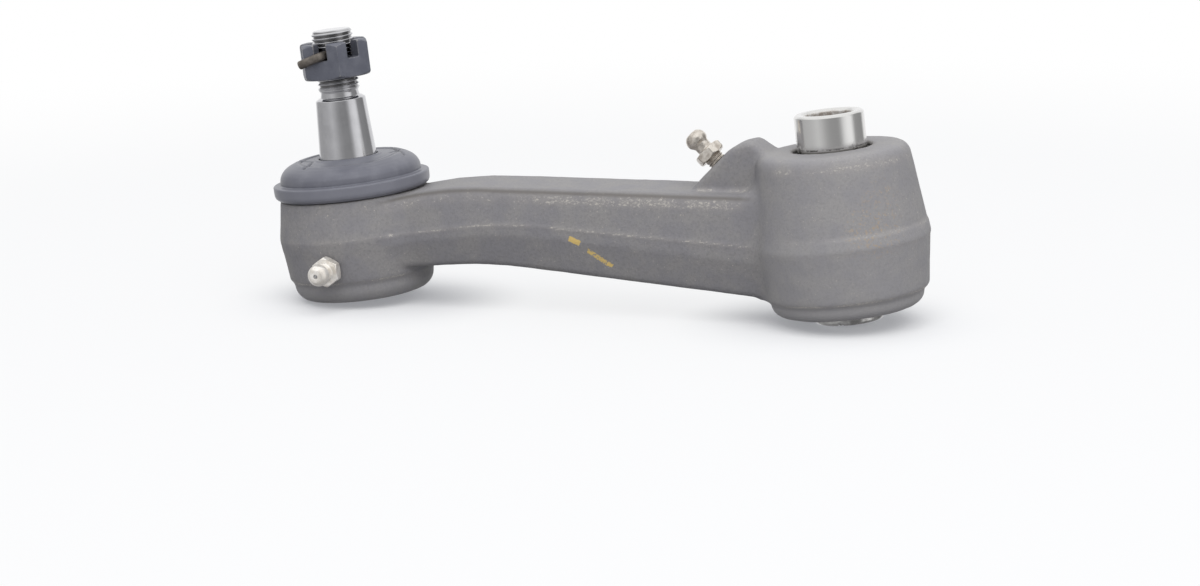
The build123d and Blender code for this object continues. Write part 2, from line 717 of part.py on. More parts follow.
# Grease fittings, each with a check ball held in its mouth by a coil spring
for fitting_name, face, standoff in (
    ("pivot", pivot_fitting_face, pivot_fitting_standoff),
    ("socket", socket_fitting_face, socket_fitting_standoff),
):
    hex_z = standoff
    neck_z = hex_z + fitting_hex_height
    head_z = neck_z + fitting_neck_height
    tip_z = head_z + fitting_head_height
    cone_z = tip_z - fitting_mouth_depth
    ball_z = cone_z + fitting_mouth_radius - (check_ball_radius + check_seat_gap) * math.sqrt(2)
    coil_reach = math.sqrt((check_ball_radius + check_spring_wire / 2) ** 2 - check_spring_radius**2)
    coil_top_z = ball_z - coil_reach - check_seat_gap
    coil_bottom_z = coil_top_z - check_spring_height
    chamber_z = coil_bottom_z - check_spring_wire / 2

    with BuildPart() as fitting:
        with BuildSketch():
            RegularPolygon(fitting_hex_across_flats / 2, 6, major_radius=False)
        extrude(amount=fitting_hex_height)
        hex_rim_radius = fitting_hex_across_flats / math.sqrt(3)
        with BuildSketch(Plane.XZ):
            with BuildLine():
                Polyline(
                    (0, 0),
                    (hex_rim_radius - fitting_hex_chamfer, 0),
                    (hex_rim_radius, fitting_hex_chamfer),
                    (hex_rim_radius, fitting_hex_height - fitting_hex_chamfer),
                    (hex_rim_radius - fitting_hex_chamfer, fitting_hex_height),
                    (0, fitting_hex_height),
                    close=True,
                )
            make_face()
        revolve(axis=Axis.Z, mode=Mode.INTERSECT)
        with BuildSketch(Plane.XZ):
            with BuildLine():
                Polyline(
                    (0, -hex_z - fitting_thread_depth),
                    (fitting_thread_radius, -hex_z - fitting_thread_depth),
                    (fitting_thread_radius, fitting_hex_height / 2),
                    (fitting_neck_radius, fitting_hex_height / 2),
                    (fitting_neck_radius, head_z - hex_z),
                    (fitting_head_radius, head_z - hex_z + fitting_head_slope),
                    (fitting_head_radius, head_z - hex_z + fitting_head_slope + fitting_head_land),
                    (fitting_tip_radius, tip_z - hex_z),
                    (0, tip_z - hex_z),
                    close=True,
                )
            make_face()
        revolve(axis=Axis.Z)
        with BuildSketch(Plane.XZ):
            with BuildLine():
                Polyline(
                    (0, tip_z - hex_z + cut_overrun),
                    (fitting_mouth_radius, tip_z - hex_z + cut_overrun),
                    (fitting_mouth_radius, cone_z - hex_z),
                    (check_bore_radius, cone_z - hex_z - (check_bore_radius - fitting_mouth_radius)),
                    (check_bore_radius, chamber_z - hex_z),
                    (fitting_mouth_radius, chamber_z - hex_z),
                    (fitting_mouth_radius, -hex_z - fitting_thread_depth - cut_overrun),
                    (0, -hex_z - fitting_thread_depth - cut_overrun),
                    close=True,
                )
            make_face()
        revolve(axis=Axis.Z, mode=Mode.SUBTRACT)
    seated = face.offset(hex_z).location
    fitting_body = fitting.part.moved(seated)
    fitting_body.label = f"{fitting_name}_grease_fitting"
    export_step(fitting_body, f"parts/{fitting_name}_grease_fitting.step")

    with BuildPart() as check_ball:
        with Locations((0, 0, ball_z - hex_z)):
            Sphere(check_ball_radius)
    ball_body = check_ball.part.moved(seated)
    ball_body.label = f"{fitting_name}_check_ball"
    export_step(ball_body, f"parts/{fitting_name}_check_ball.step")

    with BuildPart() as check_spring:
        with BuildLine():
            coil = Helix(
                pitch=check_spring_height / check_spring_turns,
                height=check_spring_height,
                radius=check_spring_radius,
                center=(0, 0, coil_bottom_z - hex_z),
            )
        with BuildSketch(Plane(origin=coil @ 0, z_dir=coil % 0)):
            Circle(check_spring_wire / 2)
        sweep()
    spring_body = check_spring.part.moved(seated)
    spring_body.label = f"{fitting_name}_check_spring"
    export_step(spring_body, f"parts/{fitting_name}_check_spring.step")
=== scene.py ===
# %% [markdown]
# # A steering idler arm, dressed for a photograph
#
# The arm is a steel forging that carries a tapered ball stud in a booted socket at one
# end, and a bushed pivot sleeve at the other. Its exact shapes and sizes come packed from
# the CAD model. This script loads them as a frame, sets the camera and the light, and
# then gives every piece the surface that the real one has: the grain of a forging, the
# rolled crests of a thread, rubbed edges, a creased rubber boot and greased steel.
#
# All lengths below are written in millimetres and turned into metres by `MM`.

import json
import math

import bmesh
import bpy
import numpy as np
from mathutils import Matrix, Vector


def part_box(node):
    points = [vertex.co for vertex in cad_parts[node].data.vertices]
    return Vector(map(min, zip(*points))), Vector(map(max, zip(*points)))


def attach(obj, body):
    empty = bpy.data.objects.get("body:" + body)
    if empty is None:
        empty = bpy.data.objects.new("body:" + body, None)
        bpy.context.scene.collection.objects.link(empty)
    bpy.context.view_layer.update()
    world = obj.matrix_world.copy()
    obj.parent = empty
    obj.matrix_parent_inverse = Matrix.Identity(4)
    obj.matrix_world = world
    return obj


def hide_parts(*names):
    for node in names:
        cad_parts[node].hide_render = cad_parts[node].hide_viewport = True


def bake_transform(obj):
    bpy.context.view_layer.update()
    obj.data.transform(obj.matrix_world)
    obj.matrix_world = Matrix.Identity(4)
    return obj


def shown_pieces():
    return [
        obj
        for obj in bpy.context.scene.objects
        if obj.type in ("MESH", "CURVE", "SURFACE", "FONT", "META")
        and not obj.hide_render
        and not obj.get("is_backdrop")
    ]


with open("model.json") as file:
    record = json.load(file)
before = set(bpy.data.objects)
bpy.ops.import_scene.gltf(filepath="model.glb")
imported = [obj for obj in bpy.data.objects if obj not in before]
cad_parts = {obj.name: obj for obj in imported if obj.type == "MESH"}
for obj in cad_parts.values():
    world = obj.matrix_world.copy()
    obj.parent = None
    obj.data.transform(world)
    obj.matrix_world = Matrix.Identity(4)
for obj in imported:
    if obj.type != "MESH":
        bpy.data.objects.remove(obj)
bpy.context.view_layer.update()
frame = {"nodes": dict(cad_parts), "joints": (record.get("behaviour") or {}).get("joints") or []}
nodes = frame["nodes"]
MM = 0.001

# %% [markdown]
# ## Camera
#
# The photograph was taken with a long lens from in front of the pivot end, a little
# above the arm. The camera's place and its three directions were solved from edges whose
# sizes are known: the thread, the sleeve's ends and the boot's ring. A camera looks along
# its own -Z with +Y up, so the three columns of its turn are right, up and backward.

# %% Camera
IMAGE_WIDTH, FOCAL_PIXELS, SENSOR = 1200, 2739.2, 36.0
camera_place = np.array([238.60, -849.69, 141.75])
look_right = np.array([0.93498, 0.33428, -0.11859])
look_down = np.array([-0.05013, -0.20645, -0.97717])
look_forward = np.array([-0.35113, 0.91958, -0.17627])


def added(name, data):
    """Puts an object that shows this data into the scene."""
    made = bpy.data.objects.new(name, data)
    bpy.context.scene.collection.objects.link(made)
    return made


def stand(thing, place, right, up, back):
    """Stands a camera or lamp at a place in mm, its own X, Y and Z turned right, up and
    back."""
    turn = np.column_stack([right, up, back, np.array(place) * MM])
    thing.matrix_world = Matrix(np.vstack([turn, (0, 0, 0, 1)]))


camera = added("camera", bpy.data.cameras.new("camera"))
camera.data.sensor_width = SENSOR
camera.data.lens = SENSOR * FOCAL_PIXELS / IMAGE_WIDTH
camera.data.clip_start, camera.data.clip_end = 0.02, 20.0
stand(camera, camera_place, look_right, -look_down, -look_forward)
bpy.context.scene.camera = camera
bpy.context.scene.view_settings.view_transform = "Standard"
print("camera lens", round(camera.data.lens, 1), "mm")

# %% [markdown]
# ## Shader maths as plain Python
#
# A node material is easier to read as a formula than as a row of boxes. `Socket` wraps
# one output of a node, and `a * b`, `1 - mask` or `a < b` each add the Math node of that
# name. `Material.node` makes every other node from its type, its settings, and the values
# or links of its inputs.

# %% Socket and Material helpers
class Socket:
    """One output of a node. Arithmetic on it adds Math nodes."""

    def __init__(self, material, output):
        self.material, self.output = material, output

    def math(self, operation, *values):
        """The Math node of that operation, on values that are sockets or numbers."""
        return self.material.node(
            "ShaderNodeMath", {"operation": operation}, dict(enumerate(values))
        )

    def __add__(self, other):
        return self.math("ADD", self, other)

    def __sub__(self, other):
        return self.math("SUBTRACT", self, other)

    def __rsub__(self, other):
        return self.math("SUBTRACT", other, self)

    def __mul__(self, other):
        return self.math("MULTIPLY", self, other)

    def __truediv__(self, other):
        return self.math("DIVIDE", self, other)

    def __lt__(self, other):
        return self.math("LESS_THAN", self, other)

    def __abs__(self):
        return self.math("ABSOLUTE", self)

    __radd__, __rmul__ = __add__, __mul__

    def larger(self, other):
        return self.math("MAXIMUM", self, other)

    def ramp(self, start, end):
        """0 at start, 1 at end, eased in between: 3 t^2 - 2 t^3."""
        return self.material.node(
            "ShaderNodeMapRange",
            {"interpolation_type": "SMOOTHSTEP"},
            {"Value": self, "From Min": start, "From Max": end},
        )


class Material:
    """A node material with one Principled shader, built by formulas on Socket."""

    def __init__(self, name):
        self.data = bpy.data.materials.new(name)
        self.data.use_nodes = True
        self.tree = self.data.node_tree
        self.shader = next(n for n in self.tree.nodes if n.type == "BSDF_PRINCIPLED")

    def node(self, kind, settings=None, inputs=None, output=0):
        """Adds a node: settings first, then its inputs by name or number."""
        made = self.tree.nodes.new(kind)
        for key, value in (settings or {}).items():
            if key == "stops":
                ramp = made.color_ramp
                while len(ramp.elements) < len(value):
                    ramp.elements.new(1.0)
                for element, (place, colour) in zip(ramp.elements, value):
                    element.position, element.color = place, colour
            else:
                setattr(made, key, value)
        for key, value in (inputs or {}).items():
            self.feed(made.inputs[key], value)
        return Socket(self, made.outputs[output])

    def feed(self, target, value):
        if isinstance(value, Socket):
            self.tree.links.new(value.output, target)
        elif isinstance(value, tuple) and len(value) == 3 and target.type == "RGBA":
            target.default_value = (*value, 1.0)
        else:
            target.default_value = value

    def place(self, stretch=(1.0, 1.0, 1.0)):
        """Object coordinates in millimetres, stretched along each axis."""
        here = self.node("ShaderNodeTexCoord", output="Object")
        scale = tuple(s / MM for s in stretch)
        return self.node("ShaderNodeMapping", None, {"Vector": here, "Scale": scale})

    def part(self, vector, axis):
        """One coordinate of a vector: 'X', 'Y' or 'Z'."""
        return self.node("ShaderNodeSeparateXYZ", None, {0: vector}, output=axis)

    def distance(self, vector, centre=(0.0, 0.0, 0.0)):
        """How far a vector lies from a centre."""
        return self.node(
            "ShaderNodeVectorMath", {"operation": "DISTANCE"}, {0: vector, 1: centre}, "Value"
        )

    def noise(self, vector, size, detail=4.0, rough=0.6):
        """Fractal noise whose largest lumps are about `size` mm wide, near 0.5."""
        return self.node(
            "ShaderNodeTexNoise",
            None,
            {"Vector": vector, "Scale": 1.0 / size, "Detail": detail, "Roughness": rough},
        )

    def attribute(self, name):
        """A value stored with the mesh's own points."""
        return self.node("ShaderNodeAttribute", {"attribute_name": name}, output="Fac")

    def mix(self, mask, low, high):
        """Colour low where mask is 0, high where it is 1."""
        return self.node(
            "ShaderNodeMix",
            {"data_type": "RGBA"},
            {"Factor": mask, 6: low, 7: high},
            output=2,
        )

    def layered(self, base, *layers):
        """Lays colours over a base, one after the other, each given as (mask, colour)."""
        for mask, colour in layers:
            base = self.mix(mask, base, colour)
        return base

    def bump(self, height, depth, strength):
        """Turns a height of 0..1 into a normal; depth is its full height in mm."""
        return self.node(
            "ShaderNodeBump",
            None,
            {"Height": height, "Distance": depth * MM, "Strength": strength},
        )

    def finish(self, **sockets):
        """Feeds the shader: Base_Color=..., Roughness=..., and so on."""
        for key, value in sockets.items():
            self.feed(self.shader.inputs[key.replace("_", " ")], value)
        return self.data


print("helpers ready")

# %% [markdown]
# ## Surfaces from numpy
#
# Most pieces here were turned on a lathe, so a profile of (radius, height) points carried
# round an axis makes them. `path` rounds the profile's corners, `turned` carries it round,
# and `skin` puts the resulting grid of points into a mesh. A thread, a hexagon or a crease
# is then one more term in the radius or the height, worked out for all points at once.

# %% Profile, turning and meshing
BOW_POINTS, LONGEST_CUT = 5, 0.45
JOIN_GAP = 1e-7


def unit(vector):
    """The vector at a length of 1."""
    return np.array(vector, float) / np.linalg.norm(vector)


def path(corners, step):
    """Profile through (radius, height, rounding) corners, as points at most step apart.

    At a corner P the two runs are cut back by the rounding, but by no more than
    LONGEST_CUT of their length, to A and B. These are joined by the bow
    (1-s)^2 A + 2 s (1-s) P + s^2 B."""
    spots = np.array([corner[:2] for corner in corners], float)
    line = [spots[:1]]
    for before, here, after, corner in zip(spots, spots[1:], spots[2:], corners[1:]):
        back, on = before - here, after - here
        reach = [min(corner[2], LONGEST_CUT * np.linalg.norm(run)) for run in (back, on)]
        a = here + unit(back) * reach[0]
        b = here + unit(on) * reach[1]
        s = np.linspace(0, 1, BOW_POINTS if corner[2] > 0 else 1)[:, None]
        line.append((1 - s) ** 2 * a + 2 * s * (1 - s) * here + s**2 * b)
    line = np.vstack([*line, spots[-1:]])
    gaps = np.linalg.norm(np.diff(line, axis=0), axis=1)
    line, gaps = line[np.r_[True, gaps > 1e-6]], gaps[gaps > 1e-6]
    along = np.r_[0, np.cumsum(gaps)]
    fine = np.concatenate(
        [
            np.linspace(a, b, max(1, math.ceil((b - a) / step)), endpoint=False)
            for a, b in zip(along, along[1:])
        ]
        + [along[-1:]]
    )
    return np.column_stack([np.interp(fine, along, line[:, k]) for k in (0, 1)])


def turned(profile, steps):
    """Radius, height and angle of every point of a profile carried round the Z axis."""
    angle = np.linspace(0, 2 * np.pi, steps, endpoint=False)
    radius, angle = np.meshgrid(profile[:, 0], angle, indexing="ij")
    height = np.repeat(profile[:, 1:2], steps, axis=1)
    return radius, height, angle


def round_axis(radius, height, angle, centre=(0, 0, 0), axis=(0, 0, 1), start=(1, 0, 0)):
    """Points centre + radius (cos angle U + sin angle V) + height W, with W the axis,
    V = W x start and U = V x W, so that U, V and W are square to each other."""
    w = unit(axis)
    v = unit(np.cross(w, start))
    u = np.cross(v, w)
    flat = np.cos(angle)[..., None] * u + np.sin(angle)[..., None] * v
    return np.array(centre) + radius[..., None] * flat + height[..., None] * w


def keep_value(mesh, name, values):
    """Stores one number for each vertex, for the materials to read."""
    layer = mesh.attributes.new(name, "FLOAT", "POINT")
    layer.data.foreach_set("value", np.asarray(values, np.float32))


def join_doubles(mesh, gap):
    """Joins the vertices that lie within a gap in metres of each other."""
    work = bmesh.new()
    work.from_mesh(mesh)
    bmesh.ops.remove_doubles(work, verts=work.verts, dist=gap)
    work.to_mesh(mesh)
    work.free()


def skin(name, points, loop=False, values=None):
    """Mesh over a grid of points in mm, closed round its second index, and round its
    first too if loop. Quad (i, j) joins (i, j), (i, j+1), (i+1, j+1) and (i+1, j).
    Each grid in `values` is stored under its name, one number for each point."""
    rows, steps = points.shape[:2]
    index = np.arange(rows * steps).reshape(rows, steps)
    if loop:
        index = np.vstack([index, index[:1]])
    right = np.roll(index, -1, axis=1)
    quads = np.stack([index[:-1], right[:-1], right[1:], index[1:]], axis=-1)
    mesh = bpy.data.meshes.new(name)
    mesh.from_pydata(points.reshape(-1, 3) * MM, [], quads.reshape(-1, 4))
    for key, grid in (values or {}).items():
        keep_value(mesh, key, grid.ravel())
    join_doubles(mesh, JOIN_GAP)
    return shown(name, mesh)


def shown(name, mesh):
    """Puts a mesh into the scene as a smooth-shaded piece at the origin."""
    mesh.polygons.foreach_set("use_smooth", np.ones(len(mesh.polygons), bool))
    return added(name, mesh)


def dress(piece, material, body, node):
    """Gives a piece its material, hides the CAD piece it stands for, puts it on its body,
    if one rigid body carries it, and prints what it is."""
    piece.data.materials.clear()
    piece.data.materials.append(material)
    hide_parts(node)
    if body:
        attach(piece, body)
    print(f"{piece.name}: {len(piece.data.polygons)} faces")


# %% [markdown]
# ## Wear on a hard-edged piece
#
# No forged or tumbled part keeps a sharp edge. A Bevel modifier rounds edges by the same
# amount everywhere, and fails where many meet. `merged` copies a CAD piece and joins its
# loose triangles. `softened` rebuilds such a copy on an even grid of small cells and lets
# every point drift towards its neighbours, which rounds the edges and leaves the faces
# flat. How far a point stands out from its neighbours is kept as the value "edge": the
# materials rub the finish off there, and on the nut it also carries a painted highlight.

# %% Softened copies
CAD_JOIN_GAP, EDGE_ROUNDS = 1e-6, 2


def vectors_of(items, key):
    """The vector that each item keeps under a key, as the rows of one array."""
    flat = np.empty(len(items) * 3, np.float32)
    items.foreach_get(key, flat)
    return flat.reshape(-1, 3).astype(float)


def points_of(mesh):
    """Vertex places in mm."""
    return vectors_of(mesh.vertices, "co") / MM


def normals_of(mesh):
    """Outward direction at every vertex."""
    return vectors_of(mesh.vertex_normals, "vector")


def move_points(mesh, points):
    """Moves the vertices to new places in mm."""
    mesh.vertices.foreach_set("co", (points * MM).ravel().astype(np.float32))
    mesh.update()


def neighbour_mean(values, edges):
    """For every vertex, the mean of the values at the vertices it shares an edge with."""
    ends, others = edges.ravel(), edges[:, ::-1].ravel()
    count = np.bincount(ends, minlength=len(values))
    sums = [
        np.bincount(ends, values[others, k], minlength=len(values))
        for k in range(values.shape[1])
    ]
    return np.column_stack(sums) / np.maximum(count, 1)[:, None]


def merged(node, ending):
    """Smooth copy of a CAD piece, in which the points that its faces share are joined."""
    mesh = nodes[node].data.copy()
    join_doubles(mesh, CAD_JOIN_GAP)
    return shown(node + ending, mesh)


def softened(node, cell, rounds):
    """Worn copy of a CAD piece, rebuilt on cells this wide in mm. Each round moves a
    point p to (p + mean of its neighbours) / 2. Its edge value is how far p then stands
    out of its neighbours along the normal, in cells, evened out in EDGE_ROUNDS."""
    piece = merged(node, "_worn")
    grid = piece.modifiers.new("grid", "REMESH")
    grid.mode, grid.voxel_size, grid.use_smooth_shade = "VOXEL", cell * MM, True
    seen = piece.evaluated_get(bpy.context.evaluated_depsgraph_get())
    rebuilt = bpy.data.meshes.new_from_object(seen)
    piece.modifiers.clear()
    piece.data = rebuilt
    edges = np.empty(len(rebuilt.edges) * 2, np.int32)
    rebuilt.edges.foreach_get("vertices", edges)
    edges = edges.reshape(-1, 2)
    points = points_of(rebuilt)
    for _ in range(rounds):
        points = (points + neighbour_mean(points, edges)) / 2
    move_points(rebuilt, points)
    proud = ((points - neighbour_mean(points, edges)) * normals_of(rebuilt)).sum(1)
    proud = proud[:, None] / cell
    for _ in range(EDGE_ROUNDS):
        proud = (proud + neighbour_mean(proud, edges)) / 2
    keep_value(rebuilt, "edge", proud[:, 0])
    print(node, "edge values", np.round(np.percentile(proud, (1, 50, 99, 99.9)), 3))
    return piece


def lumps(points, size, seed):
    """Smooth random height from -1 to 1: a lattice of random numbers one every `size` mm,
    blended between its eight corners by 3 t^2 - 2 t^3."""
    lattice = np.random.default_rng(seed).uniform(-1, 1, (64, 64, 64))
    spot = points / size + 200.5
    cell = np.floor(spot).astype(int)
    t = spot - cell
    t = t * t * (3 - 2 * t)
    total = np.zeros(len(points))
    for corner in np.ndindex(2, 2, 2):
        weight = np.prod(np.where(corner, t, 1 - t), axis=1)
        total += weight * lattice[tuple(((cell + corner) % 64).T)]
    return total


# %% [markdown]
# ## The forging
#
# Hot steel pressed between two dies keeps a slightly wavy skin. Where the dies met, the
# flash was sheared off, which leaves a low band round the eye and a fine bead along each
# side of the arm. Sculpting could add them by hand, but a formula puts them exactly where
# the dies met. The worn copy of the CAD forging is raised along its normals by the bands,
# the bead and two sizes of random lumps, except where it was machined: in the bores and
# in the seat of the boot.

# %% Forging shape
def box_of(node):
    """Lowest and highest corner of a CAD piece, in mm."""
    return [np.array(corner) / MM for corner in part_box(node)]


stud_low, stud_high = box_of("ball_stud")
stud_x = (stud_low[0] + stud_high[0]) / 2
sleeve_low, sleeve_high = box_of("pivot_sleeve")
forging_low, forging_high = box_of("arm_forging")

FORGING_CELL, KNEE_EASE = 0.73, 14.0
EYE_MACHINED_RADIUS, SOCKET_MACHINED_RADIUS, BOOT_SEAT_RADIUS = 13.6, 19.9, 26.0
HOUSING_FACE_Z, HOUSING_INSIDE_Z = 19.0, 15.5
ARM_START_X, ARM_END_X, ARM_SIDE_Y = -152.0, -29.0, 11.0
BEAD_HEIGHT, EYE_BAND_HEIGHT, HOUSING_BAND_HEIGHT = 0.16, 0.30, 0.09
EYE_BAND_Z, HOUSING_BAND_Z = (-7.3, -3.6), (1.9, 5.9)
LUMPS = ((0.06, 9.0, 3), (0.045, 3.2, 4))  # height, size, seed


def bent(x, knee_x, knee_z, rise, fall):
    """Height of a line that climbs to its knee and falls beyond it. With b = x - knee_x
    it is knee_z + rise b - (rise + fall) (b + ease)^2 / (4 ease) within the ease, and
    the bend stays at (rise + fall) b beyond it."""
    beyond = x - knee_x
    eased = np.clip(beyond + KNEE_EASE, 0, 2 * KNEE_EASE) ** 2 / (4 * KNEE_EASE)
    past = np.maximum(beyond - KNEE_EASE, 0)
    return knee_z + rise * beyond - (rise + fall) * (eased + past)


def below(value, level, soft):
    """1 up to a level, falling straight to 0 over the next `soft`."""
    return np.clip((level - value) / soft + 1, 0, 1)


def band(value, low, high, soft):
    """1 between low and high, falling straight to 0 over `soft` outside of them."""
    return below(value, high, soft) * below(-value, -low, soft)


def line(distance, width):
    """exp(-(d / width)^2): 1 on a line, fading at its width."""
    return np.exp(-((distance / width) ** 2))


forging = softened("arm_forging", FORGING_CELL, 1)
spots, out = points_of(forging.data), normals_of(forging.data)
x, y, z = spots.T
from_pivot, from_stud = np.hypot(x, y), np.hypot(x - stud_x, y)
machined = from_pivot < EYE_MACHINED_RADIUS
machined |= (from_stud < SOCKET_MACHINED_RADIUS) & (z < HOUSING_INSIDE_Z)
machined |= (from_stud < BOOT_SEAT_RADIUS) & (z > HOUSING_FACE_Z)

parting_line = z - bent(x, -112.0, 7.4, 0.043, 0.1545)
upper_line = z - bent(x, -131.0, 20.65, 0.11, 0.096)
on_arm = band(x, ARM_START_X, ARM_END_X, 4.0) * (np.abs(y) > ARM_SIDE_Y)
on_eye = (from_pivot > 22.0) * below(-x, 13.0, 8.0)
right_half = 0.3 + 0.7 * np.clip((x + 2) / 8, 0, 1)
on_housing = (from_stud > 23.0) * below(x, stud_x + 21.0, 3.0)

skin_height = sum(height * lumps(spots, size, seed) for height, size, seed in LUMPS)
skin_height += BEAD_HEIGHT * line(parting_line, 0.7) * on_arm
skin_height += EYE_BAND_HEIGHT * band(z, *EYE_BAND_Z, 0.7) * on_eye * right_half
skin_height += HOUSING_BAND_HEIGHT * band(z, *HOUSING_BAND_Z, 0.6) * on_housing
spots += out * (skin_height * ~machined)[:, None]  # x, y and z are views, so they follow
move_points(forging.data, np.clip(spots, forging_low, forging_high))
print("forging points:", len(spots), "of which machined:", int(machined.sum()))

# %% [markdown]
# ## Marks on the forging
#
# A material can rub, darken or lighten a line only if it knows where the line runs. Image
# textures could tell it, but values stored with the points need no unwrapping. There are
# four: the machined faces; the scuff along every line that stands out and gets rubbed; a
# painted shade, a dark band along the arm's rounded upper edge; and painted light, which
# makes lighter the faces that look up, the eye, and the low rims of the eye and the housing.

# %% Forging marks
EYE_RIMS = ((18.8, 1.6, 0.95), (-24.6, 0.55, 1.25))  # level, width, strength
EYE_BAND_EDGES = ((-3.0, 0.7, 0.90), (-7.9, 0.7, 0.50))
HOUSING_LINES = ((6.3, 0.7, 0.75), (-8.5, 0.55, 1.20))
MOST_SCUFF = 1.25


def rubbed_lines(lines):
    """Sum of strength * exp(-((z - level) / width)^2) over the lines."""
    return sum(strength * line(z - level, width) for level, width, strength in lines)


toward_eye = 0.78 + 0.22 * np.clip((x + 110) / 30, 0, 1)
upper_scuff = toward_eye * np.minimum(1.6 * line(upper_line + 3.1, 1.6), 1.0)
scuff = on_arm * (1.2 * line(parting_line, 0.6) + upper_scuff)
scuff += on_eye * (rubbed_lines(EYE_RIMS) + right_half * rubbed_lines(EYE_BAND_EDGES))
scuff += on_housing * rubbed_lines(HOUSING_LINES)
on_boss = band(x, -45.0, -27.0, 1.0) * band(np.abs(y), 6.6, 8.6, 0.6)
scuff += 1.1 * line(upper_line - 0.5, 0.7) * on_boss

# painted shade: a dark band along the arm's rounded upper edge, on both sides
soot = line(upper_line + 1.0, 0.65) * (np.abs(y) > ARM_SIDE_Y - 0.2)
soot *= band(x, ARM_START_X + 2.0, ARM_END_X, 6.0)
# painted light: faces that look up, the whole eye and the low rims of eye and housing are
# lighter
pale = 0.13 * np.clip((out[:, 2] - 0.6) / 0.3, 0, 1)
eye_foot = 0.16 + 0.10 * below(z, -5, 2) + 0.22 * below(z, -25, 0.7)
housing_foot = 0.17 * below(z, -9, 0.7) + 0.32 * below(z, -15, 4)
pale += below(-x, 20.0, 6.0) * eye_foot + below(x, stud_x + 28.0, 2.0) * housing_foot
marks = {
    "machined": machined,
    "scuff": np.clip(scuff, 0, MOST_SCUFF),
    "soot": soot,
    "pale": pale,
}
for name, values in marks.items():
    keep_value(forging.data, name, values)
    print(name, "from", round(float(np.min(values)), 2), "to", round(float(np.max(values)), 2))

# %% [markdown]
# ## Forging coat
#
# The coat is a matte grey with a hint of violet, barely mottled, over the fine grain of
# forging scale. Pale specks lie in it, and along the scuffed lines it is rubbed to a broken
# beige streak: `scuff` is pushed through noise, so that the streak comes and goes. A few
# freckles of rust sit on the eye, and two strokes of yellow inspection paint on the arm.
# Each is one colour laid over those before it, through its own mask.

# %% Forging material
COAT = {
    "cool": (0.212, 0.208, 0.219),
    "warm": (0.243, 0.236, 0.234),
    "grain": (0.150, 0.143, 0.152),
    # colour of the painted light on faces that look up and on the low ends
    "thin": (0.400, 0.392, 0.395),
    # colour of the painted shade band along the arm's upper edge
    "soot": (0.100, 0.092, 0.084),
    "rust": (0.36, 0.275, 0.185),
    "speck": (0.50, 0.46, 0.40),
    "worn": (0.42, 0.39, 0.36),
    "rubbed": (0.66, 0.62, 0.56),
    "paint": (0.66, 0.47, 0.14),
    "machined": (0.30, 0.29, 0.28),
}
RUST_PLACES = (((17.5, -22.5, -1.0), 13.0, 1.0), ((21.0, -20.0, 8.0), 10.0, 0.7))


def near(material, here, centre, reach):
    """1 about a centre in mm, falling to 0 at a distance of reach."""
    return material.distance(here, centre).ramp(reach, reach * 0.35)


def stroke(x, z, start, end, width):
    """1 within a straight stroke from start to end, both (x, z) in mm: `along` is the
    share of the way and `off` the distance from its middle line."""
    run = (end[0] - start[0], end[1] - start[1])
    length = math.hypot(*run)
    u, v = run[0] / length, run[1] / length
    along = (x - start[0]) * (u / length) + (z - start[1]) * (v / length)
    off = abs((z - start[1]) * u - (x - start[0]) * v)
    return off.ramp(width, width * 0.3) * along.ramp(-0.10, 0.12) * along.ramp(1.10, 0.88)


coat = Material("forging_coat")
here = coat.place()
x, y, z = (coat.part(here, axis) for axis in "XYZ")
bare, scuff, soot, pale = (coat.attribute(name) for name in marks)
edge = coat.attribute("edge").ramp(0.05, 0.20)
mottle = coat.noise(here, 9, detail=6)
grain = coat.noise(here, 0.9, detail=4, rough=0.7)
broken = coat.noise(coat.place((0.6, 1.0, 1.0)), 0.75, detail=4, rough=0.8)
patchy = coat.noise(here, 9, detail=4)
specks = coat.noise(here, 0.75, detail=2).ramp(0.66, 0.75) * patchy.ramp(0.38, 0.58)
worn = scuff * patchy.ramp(0.16, 0.50)
rubbed = (worn * 0.27 + edge * 0.08 + broken).ramp(0.755, 0.90)
rust = coat.noise(here, 1.2, detail=5, rough=0.7).ramp(0.54, 0.62)
stain, side_stain = (
    near(coat, here, centre, reach) * rust * strength for centre, reach, strength in RUST_PLACES
)
dab = stroke(x, z, (-88.6, 0.9), (-84.8, -1.2), 1.6) * 1.2
thin = stroke(x, z, (-83.2, -3.4), (-74.6, -10.0), 1.5) * (grain.ramp(0.36, 0.52) * 0.75 + 0.2)
paint = (dab.larger(thin) * 0.5 + broken).ramp(0.78, 0.90) * (y < 0.0)
base = coat.layered(
    coat.mix(mottle.ramp(0.35, 0.65), COAT["cool"], COAT["warm"]),
    (grain.ramp(0.42, 0.70) * 0.45, COAT["grain"]),
    # painted light: faces that look up and the low ends are painted lighter
    (pale, COAT["thin"]),
    # painted shade: the dark band along the arm's rounded upper edge
    (soot * 0.85, COAT["soot"]),
    (stain.larger(side_stain) * 0.6, COAT["rust"]),
    (specks * 0.6, COAT["speck"]),
    (worn * 0.18, COAT["worn"]),
    (rubbed * (0.62 + specks * 0.3), COAT["rubbed"]),
    (paint * 0.85, COAT["paint"]),
    (bare * 0.9, COAT["machined"]),
)
forging_coat = coat.finish(
    Base_Color=base,
    Roughness=0.58 + mottle * 0.16 - rubbed * 0.15,
    Metallic=(bare * 0.8).larger(rubbed * 0.3),
    Normal=coat.bump(grain, 0.16, 0.7),
)
dress(forging, forging_coat, "arm", "arm_forging")

# %% [markdown]
# ## The ball stud
#
# The stud is turned from bar, its taper is ground, and its thread is rolled. A bump map
# could paint the thread, but its outline would stay straight, and seen close the crests
# are what tells it from a plain pin. So they are real: along the threaded end the radius
# drops by a wave that climbs one pitch in each turn. A knock has left a pit in the taper.

